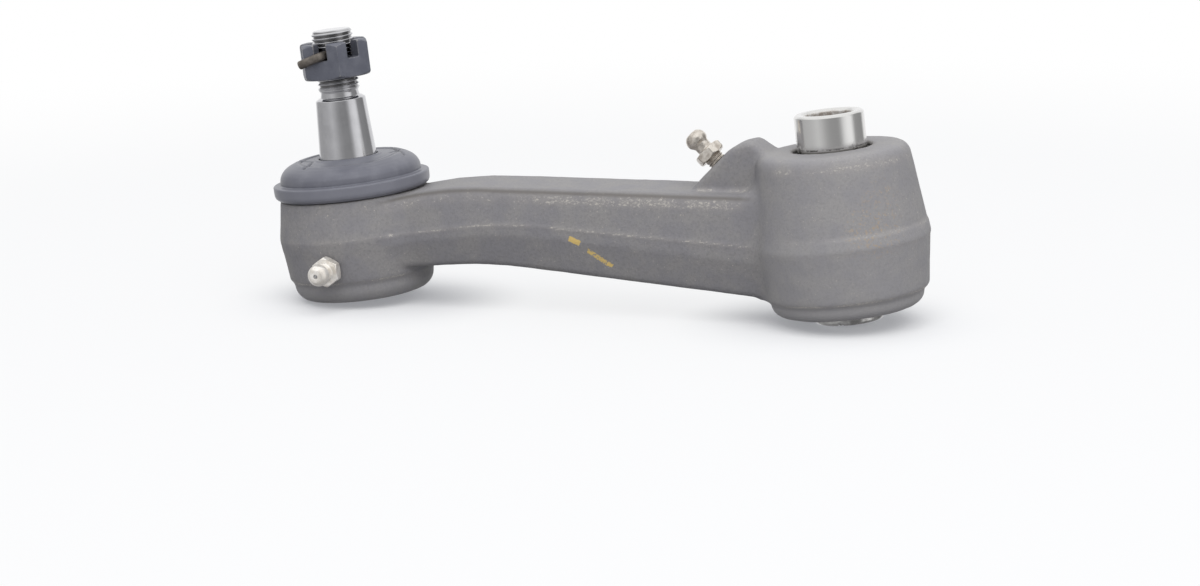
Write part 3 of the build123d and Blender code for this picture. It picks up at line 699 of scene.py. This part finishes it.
# %% Stud shape
BALL_CENTRE_Z, BALL_RADIUS, BALL_FLAT = 4.5, 12.7, 9.0
NECK_RADIUS, TAPER_FOOT, TAPER_HEAD = 7.8, (10.05, 29.0), (8.55, 51.7)
RELIEF_RADIUS, THREAD_RADIUS, THREAD_START_Z = 6.4, 7.145, 55.4
THREAD_PITCH, THREAD_DEPTH, THREAD_STEP = 25.4 / 18, 0.72, 0.11
TIP_BEVEL, TIP_RADIUS = 1.1, 6.2
PIT_PLACE, PIT_RADIUS, PIT_DEPTH = (-167.9, -8.4, 45.2), 0.45, 0.25
LATHE_STEPS = 96
stud_top = stud_high[2]
bevel_z = stud_top - TIP_BEVEL


def thread_cut(height, angle, pitch, fade_low, fade_high):
    """Depth of a 60 degree thread, 0 at the crest and 1 at the root: with f the fraction
    of height / pitch - angle / turn, 1.25 (1 - |2 f - 1|) - 0.12 held within 0 and 1. It
    runs out over a third of a pitch at both ends."""
    f = (height / pitch - angle / (2 * np.pi)) % 1.0
    cut = np.clip(1.25 * (1 - np.abs(2 * f - 1)) - 0.12, 0, 1)
    ends = np.minimum(height - fade_low, fade_high - height) / (pitch / 3)
    return cut * np.clip(ends, 0, 1)


arc = np.linspace(math.asin(-BALL_FLAT / BALL_RADIUS), math.acos(NECK_RADIUS / BALL_RADIUS), 30)
ball = [(BALL_RADIUS * math.cos(a), BALL_CENTRE_Z + BALL_RADIUS * math.sin(a), 0) for a in arc]
shank = path(
    [
        (0, BALL_CENTRE_Z - BALL_FLAT, 0),
        *ball,
        (NECK_RADIUS, 24.0, 1.0),
        (*TAPER_FOOT, 0.4),
        (*TAPER_HEAD, 0.35),
        (7.25, 52.5, 0.2),
        (RELIEF_RADIUS + 0.35, 52.55, 0.2),
        (RELIEF_RADIUS, 54.2, 0.5),
        (THREAD_RADIUS, THREAD_START_Z, 0.2),
    ],
    0.5,
)
threaded = path(
    [(THREAD_RADIUS, THREAD_START_Z, 0), (THREAD_RADIUS, bevel_z, 0)], THREAD_STEP
)
tip = path(
    [
        (THREAD_RADIUS, bevel_z, 0),
        (TIP_RADIUS, stud_top, 0.25),
        (TIP_RADIUS - 1.0, stud_top, 0),
        (0, stud_top, 0),
    ],
    THREAD_STEP,
)
radius, height, angle = turned(np.vstack([shank, threaded[1:], tip[1:]]), LATHE_STEPS)
crest_limit = THREAD_RADIUS - THREAD_DEPTH * thread_cut(
    height, angle, THREAD_PITCH, THREAD_START_Z, stud_top + THREAD_PITCH
)
radius = np.where(height > THREAD_START_Z, np.minimum(radius, crest_limit), radius)
cut = np.where(height > THREAD_START_Z, THREAD_RADIUS - radius, 0) / THREAD_DEPTH
pit_gap = np.linalg.norm(round_axis(radius, height, angle, (stud_x, 0, 0)) - PIT_PLACE, axis=2)
radius = radius - PIT_DEPTH * line(pit_gap, PIT_RADIUS)
root = cut * (radius > 5.5) * (height < stud_top - 0.4)
points = round_axis(radius, height, angle, (stud_x, 0, 0))
stud = skin("ball_stud_turned", points, values={"root": root})
print("stud thread turns:", round((bevel_z - THREAD_START_Z) / THREAD_PITCH, 1))

# %% [markdown]
# ## Bright steel
#
# Turned and ground steel is a mirror broken up by fine rings. The rings are noise read on
# coordinates stretched so that it hardly changes round the axis and quickly along it.
# Faint blotches of oil make the roughness uneven, and the thread's roots are darker.

# %% Steel material
STUD_STEEL, ROOT_DARK = (0.61, 0.61, 0.625), (0.12, 0.115, 0.11)


def steel(name, roughness, ring_depth, oil):
    """Bare steel that has yet to get its colour, and its blotches: the roughness is
    raised by blotches * oil and by the rings round the Z axis."""
    made = Material(name)
    rings = made.noise(made.place((0.03, 0.03, 6.0)), 1.0, detail=3, rough=0.7)
    blotches = made.noise(made.place(), 5, detail=4)
    made.finish(
        Roughness=roughness + blotches * oil + rings * 0.06,
        Metallic=1.0,
        Normal=made.bump(rings, ring_depth, 0.6),
    )
    return made, blotches


turned_steel, blotches = steel("stud_steel", 0.06, 0.008, 0.07)
stud_steel = turned_steel.finish(
    Base_Color=turned_steel.layered(
        STUD_STEEL,
        (blotches.ramp(0.35, 0.75) * 0.35, tuple(0.72 * level for level in STUD_STEEL)),
        # darker in the thread's roots
        (turned_steel.attribute("root").ramp(0.35, 0.95) * 0.7, ROOT_DARK),
    )
)
dress(stud, stud_steel, "stud", "ball_stud")

# %% [markdown]
# ## Castle nut
#
# The nut is blackened, which leaves a thin blue-grey skin with a satin gloss. Its corners
# were tumbled round before that, and the spanner and the bench have since rubbed them
# bright. The worn copy has both: rounder corners, and the edge value to rub them with.
# The pale edges are partly that wear and partly a painted highlight.

# %% Nut
nut = softened("castle_nut", 0.2, 4)
blackened = Material("black_oxide")
here = blackened.place()
cloud = blackened.noise(here, 4, detail=5)
scratch = blackened.noise(here, 1.1, detail=4, rough=0.75)
# edge wear, and partly a painted highlight along the nut's edges
rubbed = blackened.attribute("edge").ramp(0.038, 0.11) * scratch.ramp(0.38, 0.54)
skin_colour = blackened.mix(cloud.ramp(0.35, 0.7), (0.130, 0.137, 0.168), (0.166, 0.173, 0.205))
black_oxide = blackened.finish(
    Base_Color=blackened.mix(rubbed * 0.75, skin_colour, (0.56, 0.55, 0.54)),
    Roughness=0.38 + cloud * 0.12 - rubbed * 0.12,
    Metallic=0.55 + rubbed * 0.45,
    Normal=blackened.bump(scratch, 0.03, 0.5),
)
dress(nut, black_oxide, "stud", "castle_nut")

# %% [markdown]
# ## Cotter pin
#
# The pin is two half-round legs of dull wire bent back along the nut. Its own CAD mesh
# carries the shape, so a worn copy on very small cells is enough.

# %% Cotter pin
pin = softened("cotter_pin", 0.13, 3)
wire = Material("pin_wire")
drawn = wire.noise(wire.place((1.0, 1.0, 5.0)), 1.2, detail=4, rough=0.7)
tint = wire.noise(wire.place(), 2.5, detail=4)
pin_wire = wire.finish(
    Base_Color=wire.mix(tint.ramp(0.35, 0.7), (0.145, 0.128, 0.112), (0.25, 0.225, 0.20)),
    Roughness=0.42 + drawn * 0.15,
    Metallic=0.75,
    Normal=wire.bump(drawn, 0.03, 0.5),
)
dress(pin, pin_wire, "stud", "cotter_pin")

# %% [markdown]
# ## Dust boot
#
# The boot is one moulding: a ring that grips the housing, a rounded dome, a nearly flat
# crown and a lip that seals on the stud. Packed in a box it took a few sharp creases on
# the crown, which also folded along a circle and sank a millimetre on its front side.
# Cloth simulation would fold it somewhere else each time, so each crease is placed: a
# narrow valley whose depth falls off as exp(-(d / w)^2) with the distance d from its line.
# When the stud swings, the lip goes with it and the ring stays; here the mesh is put on
# no body, so it stays where it is.

# %% Boot shape
BOOT_STEPS = 240
LIP_RADIUS, CROWN_Z, CROWN_RADIUS = 10.30, 30.2, 12.0
FOLD_RADIUS, SAG, SAG_ANGLE = 16.7, 1.1, math.radians(-64)
CREASE_WIDTH, CREASE_DARK = 0.45, 0.8
DOME_CENTRE, DOME_REACH = (17.5, 25.4), (6.9, 6.2)
dome = [
    (*(np.array(DOME_CENTRE) + np.multiply(DOME_REACH, (math.cos(a), math.sin(a)))), 0.6)
    for a in np.linspace(math.pi / 2, 0, 7)
]
boot_outline = path(
    [
        (LIP_RADIUS, 30.0, 0.0),
        (LIP_RADIUS, 31.9, 0.3),
        (11.45, 31.85, 0.4),
        (11.90, 31.45, 0.4),
        *dome,
        (24.3, 24.75, 0.2),
        (24.8, 24.5, 0.2),
        (26.65, 24.45, 0.25),
        (27.0, 24.1, 0.3),
        (26.9, 21.2, 0.4),
        (26.55, 20.3, 0.3),
        (25.3, 19.35, 0.3),
        (21.5, 19.5, 0.3),
        (22.3, 24.6, 1.0),
        (20.6, 27.8, 3.0),
        (16.9, 29.5, 2.0),
        (LIP_RADIUS, 29.6, 0.5),
        (LIP_RADIUS, 30.0, 0.0),
    ],
    0.4,
)[:-1][::-1]


def rising(value, start, reach):
    """0 up to start, climbing straight to 1 over the next `reach`."""
    return np.clip((value - start) / reach, 0, 1)


def valley(x, y, start, end, width):
    """exp(-(d / width)^2), d being the distance of (x, y) from the line start to end."""
    start, run = np.array(start, float), np.subtract(end, start).astype(float)
    share = np.clip(((x - start[0]) * run[0] + (y - start[1]) * run[1]) / (run @ run), 0, 1)
    gap = np.hypot(x - start[0] - share * run[0], y - start[1] - share * run[1])
    return line(gap, width)


CREASES = (
    ((-18.9, -0.9), (-8.8, -7.6), 0.50),
    ((-8.6, -17.5), (-11.6, 1.0), 0.55),
    ((9.5, 15.5), (20.5, 1.0), 0.45),
    ((14.0, 4.0), (17.0, 14.0), 0.45),
)
radius, height, angle = turned(boot_outline, BOOT_STEPS)
x, y = radius * np.cos(angle), radius * np.sin(angle)
outer = rising(height, CROWN_Z, 0.6) * rising(radius, CROWN_RADIUS, 0.8)
sagging = rising(height, 26.5, 4) * rising(radius, CROWN_RADIUS, 3)
toward_front = (1 + np.cos(angle - SAG_ANGLE)) / 2
fold = outer * line(radius - FOLD_RADIUS, CREASE_WIDTH)
crease = CREASE_DARK * fold
for start, end, depth in CREASES:
    mark = outer * valley(x, y, start, end, CREASE_WIDTH)
    height -= depth * mark
    crease = np.maximum(crease, mark)
height -= 0.45 * fold
height += outer * 0.22 * line(radius - FOLD_RADIUS - 1.7, 0.9)
height -= SAG * sagging * toward_front**2
waves = 0.10 * np.sin(3 * angle + 0.6) + 0.06 * np.sin(5 * angle + 2.0)
height += waves * rising(radius, 12, 4) * rising(-radius, -24.3, 3) * (height > 26)
points = round_axis(radius, height, angle, (stud_x, 0, 0))
boot = skin("dust_boot_moulded", points, loop=True, values={"crease": crease})
print("boot profile:", len(boot_outline), "points, creases:", len(CREASES))

# %% [markdown]
# ## Boot rubber
#
# Chloroprene is dark blue-grey with a soft, broad sheen. Fine dust mottles it and the
# mould left a faint grain. The ring is painted paler, a painted light from below. The
# creases are dark, because little light gets into them.

# %% Boot material
RING_TOP_Z, BLEND_FOOT_Z, BLEND_LIP_Z = 24.9, 24.8, 31.6
rubber = Material("boot_rubber")
here = rubber.place()
dust = rubber.noise(here, 6, detail=5)
grain = rubber.noise(here, 0.7, detail=3)
on_ring = rubber.part(here, "Z").ramp(RING_TOP_Z, RING_TOP_Z - 1.1)
boot_rubber = rubber.finish(
    Base_Color=rubber.layered(
        rubber.mix(dust.ramp(0.4, 0.7), (0.125, 0.128, 0.153), (0.152, 0.155, 0.180)),
        # painted light: the ring is painted paler, as if lit from below
        (on_ring * 0.5, (0.205, 0.208, 0.240)),
        (rubber.attribute("crease") * 0.6, (0.045, 0.047, 0.058)),
    ),
    Roughness=0.30 + dust * 0.13,
    Normal=rubber.bump(grain, 0.05, 0.4),
)
dress(boot, boot_rubber, None, "dust_boot")
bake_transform(boot)

# %% [markdown]
# ## Pivot sleeve
#
# A length of ground tube. Its ends are chamfered, the bore is left as drawn with brown
# stains in it, and the lower end has a small nick in its edge. A Boolean could cut the
# nick, but on a turned grid it is enough to push a few points up and in.

# %% Sleeve shape
SLEEVE_RADIUS, SLEEVE_BORE = 11.4, 8.1
NICK_ANGLE, NICK_WIDTH, NICK_HEIGHT = math.radians(-92), 0.7, 0.9
low, high = sleeve_low[2], sleeve_high[2]


def tube_end(z, inward):
    """Corners of a chamfered end from bore to outside; inward is 1 if the tube is above."""
    return [
        (SLEEVE_BORE, z + inward * 0.9, 0.2),
        (SLEEVE_BORE + 0.9, z, 0.25),
        (SLEEVE_RADIUS - 0.75, z, 0.3),
        (SLEEVE_RADIUS, z + inward * 0.7, 0.3),
    ]


middle_of_bore = (SLEEVE_BORE, 0, 0)
sleeve_outline = path(
    [middle_of_bore, *tube_end(low, 1), *reversed(tube_end(high, -1)), middle_of_bore], 0.35
)[:-1]
radius, height, angle = turned(sleeve_outline, 160)
nick = line((angle - 2 * np.pi - NICK_ANGLE) * SLEEVE_RADIUS, NICK_WIDTH)
nick *= line(height - low, NICK_HEIGHT) * (radius > 9.5)
height += 0.7 * nick
radius -= 0.35 * nick
sleeve = skin("pivot_sleeve_ground", round_axis(radius, height, angle), loop=True)
print("sleeve length:", round(high - low, 1), "mm")

# %% [markdown]
# ## Sleeve finish
#
# The sleeve takes the same steel as the stud. Black grease is smeared on it just above
# the eye, in two patches and a thin line that wavers with noise. The end below the eye
# is darker: a painted reflection of the shadowed floor, mottled by the stains.

# %% Sleeve material
GREASE_LINE_Z, GREASE_PATCHES = 23.95, (((-9.6, -5.5, 22.8), 5.5), ((9.5, -6.0, 22.0), 3.6))
ground, _ = steel("sleeve_steel", 0.10, 0.012, 0.10)
here = ground.place()
up = ground.part(here, "Z")
from_axis = ground.distance(ground.place((1.0, 1.0, 0.0)))
in_bore = from_axis.ramp(SLEEVE_BORE + 0.35, SLEEVE_BORE + 0.05)
stained = ground.noise(here, 3.0, detail=6, rough=0.75).ramp(0.40, 0.62)
streak = ground.noise(here, 2.0, detail=6, rough=0.7)
wavy = up + streak * 1.6
# painted reflection of the shadowed floor on the end below the eye, mottled by the stains
painted_floor_reflection = up.ramp(-28.5, -31.0) * (stained * 0.35 + 0.4)
left_patch, right_patch = (near(ground, here, *patch) for patch in GREASE_PATCHES)
smear = left_patch.larger(right_patch)
smear = smear * ground.noise(here, 2.2, detail=6, rough=0.7).ramp(0.44, 0.58)
grease_line = wavy.ramp(GREASE_LINE_Z + 0.8, GREASE_LINE_Z + 0.4)
grease_line = grease_line * wavy.ramp(GREASE_LINE_Z, GREASE_LINE_Z + 0.3)
smear = smear.larger(grease_line * streak.ramp(0.42, 0.60))
sleeve_steel = ground.finish(
    Base_Color=ground.layered(
        (0.76, 0.755, 0.74),
        (in_bore * (0.15 + stained * 0.6), (0.20, 0.15, 0.11)),
        (painted_floor_reflection, (0.15, 0.145, 0.14)),
        (smear * 0.85, (0.045, 0.04, 0.036)),
    ),
    Metallic=1.0 - in_bore * 0.65,
)
dress(sleeve, sleeve_steel, "sleeve", "pivot_sleeve")

# %% [markdown]
# ## Grease fittings
#
# A fitting is turned from hexagon bar: the hexagon's flats are the radius held to
# a / cos(angle within one sixth of a turn), with a half the width across flats, and a lathe
# chamfers its corners. Above it come a waist, the head that the grease gun grips, and a
# mouth that the spring-loaded check ball closes. Below it is the thread. A cylinder with
# six sides would need a second piece for the round head; as one surface it is a single
# turned skin, like the real one. Each stands where its check ball sits in the frame.

# %% Fitting shape
HEX_WIDTH, HEX_HEIGHT, HEX_CORNER, FITTING_HEIGHT = 9.0, 3.2, 5.25, 10.5
FITTING_THREAD, FITTING_THREAD_DEPTH, FITTING_THREAD_PITCH = 3.17, 0.42, 0.9
PASSAGE, CHAMBER, CHAMBER_FLOOR, CHAMBER_TOP = 0.7, 1.25, 4.127, 9.6
SHANK_LENGTH = {"pivot": 8.1, "socket": 6.7}
BALL_BELOW_TIP = 1.234


def check_ball(name):
    """Centre of a check ball in metres, and the direction that points out of its fitting."""
    centre = sum(np.array(corner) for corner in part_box(f"{name}_check_ball")) / 2
    slide = next(j for j in frame["joints"] if j["name"] == f"{name}_check_slide")
    return centre, -np.array(slide["axis"])


def fitting_surface(name, shank):
    """Grid of a fitting standing on its hexagon at height 0, pointing along its axis."""
    outline = path(
        [
            (PASSAGE, -2.0, 0),
            (PASSAGE, -shank, 0),
            (2.7, -shank, 0.1),
            (FITTING_THREAD, -shank + 0.5, 0.1),
            (FITTING_THREAD, -0.35, 0.1),
            (2.85, -0.02, 0.1),
            (4.55, 0.0, 0.12),
            (HEX_CORNER, 0.62, 0.12),
            (HEX_CORNER, HEX_HEIGHT - 0.62, 0.12),
            (4.55, HEX_HEIGHT, 0.12),
            (3.1, HEX_HEIGHT + 0.02, 0.25),
            (2.70, HEX_HEIGHT + 0.55, 0.3),
            (2.70, 5.60, 0.4),
            (3.62, 6.95, 0.4),
            (3.75, 8.0, 0.6),
            (3.35, 9.35, 0.9),
            (2.35, 10.35, 0.6),
            (1.75, FITTING_HEIGHT, 0.25),
            (0.78, FITTING_HEIGHT, 0.12),
            (PASSAGE, FITTING_HEIGHT - 0.35, 0.05),
            (CHAMBER, CHAMBER_TOP, 0.05),
            (CHAMBER, CHAMBER_FLOOR, 0),
            (PASSAGE, CHAMBER_FLOOR, 0),
            (PASSAGE, -2.0, 0),
        ],
        0.16,
    )[:-1]
    radius, height, angle = turned(outline, LATHE_STEPS)
    sixth = (angle + np.pi / 6) % (np.pi / 3) - np.pi / 6
    flats = HEX_WIDTH / 2 / np.cos(sixth)
    in_hex = (height > -0.01) & (height < HEX_HEIGHT + 0.01)
    radius = np.where(in_hex, np.minimum(radius, flats), radius)
    cut = thread_cut(height, angle, FITTING_THREAD_PITCH, -shank + 0.5, -0.35)
    radius -= np.where(radius > 2.6, FITTING_THREAD_DEPTH * cut, 0)
    ball, outward = check_ball(name)
    foot = ball / MM - outward * (FITTING_HEIGHT - BALL_BELOW_TIP)
    side = (0, 1, 0) if abs(outward[1]) < 0.5 else (1, 0, 0)
    return round_axis(radius, height, angle, foot, outward, side)


# %% [markdown]
# ## Nickel plate
#
# The plating is bright with a warm tint, dull in patches and a little pitted, and brown
# dirt has stayed in the pits. One material serves both and tells them apart by X: as painted
# light and shade, the fitting in the socket is painted brighter than the one on the eye,
# and it is rougher and less metallic.

# %% Nickel and fittings
nickel = Material("nickel_plate")
here = nickel.place()
pits = nickel.noise(here, 0.8, detail=5, rough=0.7)
dull = nickel.noise(here, 2.4, detail=4)
painted_lit_fitting = nickel.part(here, "X") < stud_x + 30.0
# painted light and shade: the socket's fitting is painted brighter than the eye's
shiny = nickel.mix(painted_lit_fitting, (0.80, 0.75, 0.68), (0.98, 0.95, 0.90))
tarnished = nickel.mix(painted_lit_fitting, (0.42, 0.37, 0.32), (0.72, 0.67, 0.60))
nickel_plate = nickel.finish(
    Base_Color=nickel.layered(
        shiny,
        (dull.ramp(0.36, 0.64) * 0.75, tarnished),
        (pits.ramp(0.60, 0.72) * 0.6, (0.30, 0.26, 0.21)),
    ),
    Roughness=0.18 + dull * 0.14 + painted_lit_fitting * 0.06,
    Metallic=0.92 - painted_lit_fitting * 0.32,
    Normal=nickel.bump(pits, 0.05, 0.5),
)
for name, shank in SHANK_LENGTH.items():
    fitting = skin(f"{name}_fitting_turned", fitting_surface(name, shank), loop=True)
    dress(fitting, nickel_plate, "arm", f"{name}_grease_fitting")

# %% [markdown]
# ## Pieces that keep their CAD shape
#
# Bushes, seals, ball seats, the preload spring, the check balls and the cover are plain
# turned parts, mostly hidden. They keep their own meshes, and each gets the finish of its
# real material.

# %% Inner pieces
def plain(name, light, dark, size, roughness, metallic=0.0, depth=0.02):
    """Material mottled between two colours with lumps of one size, in mm."""
    made = Material(name)
    here = made.place()
    tone = made.noise(here, size, detail=5)
    fine = made.noise(here, size / 6, detail=3, rough=0.7)
    return made.finish(
        Base_Color=made.mix(tone.ramp(0.35, 0.68), light, dark),
        Roughness=roughness + tone * 0.12,
        Metallic=metallic,
        Normal=made.bump(fine, depth, 0.5),
    )


INNER = {
    "bush_bronze": (
        plain("bush_bronze", (0.50, 0.35, 0.18), (0.36, 0.24, 0.12), 3, 0.34, 1.0),
        ("upper_bushing", "lower_bushing"),
    ),
    "seal_rubber": (
        plain("seal_rubber", (0.095, 0.092, 0.088), (0.050, 0.048, 0.046), 3, 0.45),
        ("upper_pivot_seal", "lower_pivot_seal"),
    ),
    "seat_plastic": (
        plain("seat_plastic", (0.72, 0.71, 0.65), (0.64, 0.62, 0.55), 6, 0.42),
        ("upper_ball_seat", "lower_ball_seat"),
    ),
    "spring_steel": (
        plain("spring_steel", (0.36, 0.36, 0.37), (0.24, 0.23, 0.22), 2, 0.30, 1.0),
        ("preload_spring",),
    ),
    "cover_steel": (
        plain("cover_steel", (0.26, 0.26, 0.27), (0.18, 0.175, 0.175), 5, 0.42, 0.8, 0.05),
        ("socket_cover",),
    ),
    "ball_steel": (
        plain("ball_steel", (0.62, 0.62, 0.63), (0.50, 0.50, 0.50), 1, 0.12, 1.0, 0.002),
        ("pivot_check_ball", "socket_check_ball"),
    ),
}
for slot_name, (material, names) in INNER.items():
    for name in names:
        nodes[name].data.materials.clear()
        nodes[name].data.materials.append(material)
print("inner pieces finished:", sum(len(names) for _, names in INNER.values()))

# %% [markdown]
# ## Check springs
#
# A pushed-in check ball squeezes the coil behind it, whose foot stays on the floor of the
# fitting. A rigid coil would be cut by its ball. Here each CAD coil is replaced by a joined
# copy of itself with the spring steel finish, put on no body and not blended.

# %% Check springs
for name in SHANK_LENGTH:
    ball, outward = check_ball(name)
    coil = merged(f"{name}_check_spring", "_coil")
    dress(coil, INNER["spring_steel"][0], None, f"{name}_check_spring")
    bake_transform(coil)

# %% [markdown]
# ## Floor
#
# The part lies on the bottom edges of the housing and the sleeve, so against its own
# frame the floor slopes: it is the plane that touches both. Lit like the part, white
# paper would still render grey. So a camera ray sees paper that mostly glows near white
# and takes a share of its brightness from the light, and only that share can fall into
# shadow. The share is large by the two feet, where the contact shadow belongs. Far away
# the paper turns plain white. All other rays meet a light grey floor, and mirrors none.

# %% Floor
HOUSING_FOOT = (stud_x - 18.6, -16.1)
SLEEVE_FOOT = (-10.65, sleeve_low[2])
FLOOR_REACH, FLOOR_GAP = 6000.0, 0.05
middle = (stud_x / 2, 0, 0)
floor_slope = (SLEEVE_FOOT[1] - HOUSING_FOOT[1]) / (SLEEVE_FOOT[0] - HOUSING_FOOT[0])
side = np.array([-1, 1]) * FLOOR_REACH
x, y = np.meshgrid(side, side)
z = SLEEVE_FOOT[1] + floor_slope * (x - SLEEVE_FOOT[0]) - FLOOR_GAP
corners = np.stack([x, y, z], -1).reshape(-1, 3)
mesh = bpy.data.meshes.new("floor")
mesh.from_pydata(corners * MM, [], [(0, 1, 3, 2)])
floor = added("floor", mesh)

paper = Material("floor_paper")
here = paper.place()
faint = paper.noise(here, 240, detail=2)
seen = paper.node("ShaderNodeLightPath", output="Is Camera Ray")
distance = paper.distance(here, middle)
far = distance.ramp(260, 700) * seen
housing_shade = near(paper, here, (stud_x + 3, -5, -18), 58)
feet = housing_shade.larger(near(paper, here, (0, -5, -35), 62))
lit = paper.mix(feet, (0.12, 0.12, 0.122), (0.56, 0.56, 0.555))
glow = paper.mix(feet, (0.808, 0.811, 0.816), (0.255, 0.26, 0.275))
horizon = paper.mix(distance.ramp(240, 470), (0.955, 0.962, 0.965), (1.0, 1.0, 1.0))
black = (0.0, 0.0, 0.0)
floor_paper = paper.finish(
    Base_Color=paper.layered((0.34, 0.34, 0.35), (seen, lit), (far, black)),
    Roughness=0.85 + faint * 0.1,
    Specular_IOR_Level=0.0,
    Emission_Color=paper.layered(black, (seen, glow), (far, horizon)),
    Emission_Strength=1.0,
)
mesh.materials.append(floor_paper)
floor.visible_glossy = False
floor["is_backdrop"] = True
print("floor slope", round(math.degrees(math.atan(floor_slope)), 2), "degrees")

# %% [markdown]
# ## Light
#
# The highlights look like those of a light tent: white all round, one broad lamp in
# front, above and to the right, and the dark room seen through the tent's opening behind
# the camera. The world gives the tent. A camera ray sees plain white. A mirror-like surface
# sees walls whose brightness depends on the compass direction, as `TENT_STOPS` gives it:
# the share of a turn runs from 0 at -X by -Y, +X and +Y back to -X, so the opening is
# the dark stretch near 0.3. Everything else gets an even light. An image of a studio
# would light it as well, but a ramp can be set one direction at a time.

# %% World and lamps
TENT_STOPS = (
    (0.00, 0.48), (0.07, 0.53), (0.12, 0.56), (0.18, 0.66), (0.22, 0.56), (0.26, 0.42),
    (0.30, 0.35), (0.37, 0.33), (0.395, 0.50), (0.42, 0.82), (0.46, 1.00), (0.50, 1.00),
    (0.515, 0.75), (0.535, 0.35), (0.65, 0.30), (0.675, 0.95), (0.88, 1.00), (0.94, 0.50),
)  # fmt: skip
EVEN_LIGHT, FLOOR_LIGHT = (0.86, 0.865, 0.88), (0.35, 0.35, 0.36)
LAMP_PLACE, LAMP_SIZE, LAMP_WATTS = (420, -720, 1000), 1200, 12.5
WHITE = (1.0, 1.0, 1.0)
world = bpy.data.worlds.new("tent")
bpy.context.scene.world = world
world.use_nodes = True


class Sky(Material):
    """The world's node tree, with the same helpers as a material."""

    def __init__(self, data):
        self.data, self.tree = data, data.node_tree
        self.shader = next(n for n in self.tree.nodes if n.type == "BACKGROUND")


sky = Sky(world)
direction = sky.node("ShaderNodeTexCoord", output="Generated")
east, north, rise = (sky.part(direction, axis) for axis in "XYZ")
compass = sky.node("ShaderNodeMath", {"operation": "ARCTAN2"}, {0: north, 1: east})
turn_share = compass / (2 * math.pi) + 0.5
tent = sky.node(
    "ShaderNodeValToRGB",
    {"stops": [(place, (level, level, level * 1.01, 1)) for place, level in TENT_STOPS]},
    {"Fac": turn_share},
)
overhead, underfoot = rise.ramp(0.45, 0.75), rise.ramp(-0.30, -0.65)
mirrored = sky.layered(tent, (overhead, WHITE), (underfoot, FLOOR_LIGHT))
camera_ray, glossy_ray, transmission_ray = (
    sky.node("ShaderNodeLightPath", output=f"Is {kind} Ray")
    for kind in ("Camera", "Glossy", "Transmission")
)
sky.finish(
    Color=sky.layered(
        EVEN_LIGHT, (glossy_ray, mirrored), (camera_ray.larger(transmission_ray), WHITE)
    ),
    Strength=1.0,
)

key_lamp = added("key", bpy.data.lights.new("key", "AREA"))
key_lamp.data.shape, key_lamp.data.size = "SQUARE", LAMP_SIZE * MM
key_lamp.data.energy = LAMP_WATTS
back = unit(np.subtract(LAMP_PLACE, middle))
right = unit(np.cross((0, 1, 0.01), back))
stand(key_lamp, LAMP_PLACE, right, np.cross(back, right), back)
key_lamp.visible_glossy = False
print("lamp:", key_lamp.data.energy, "W")

# %% Finish
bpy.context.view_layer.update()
triangles = sum(
    sum(len(face.vertices) - 2 for face in piece.data.polygons)
    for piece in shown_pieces()
    if piece.type == "MESH"
)
print("triangles shown:", triangles)
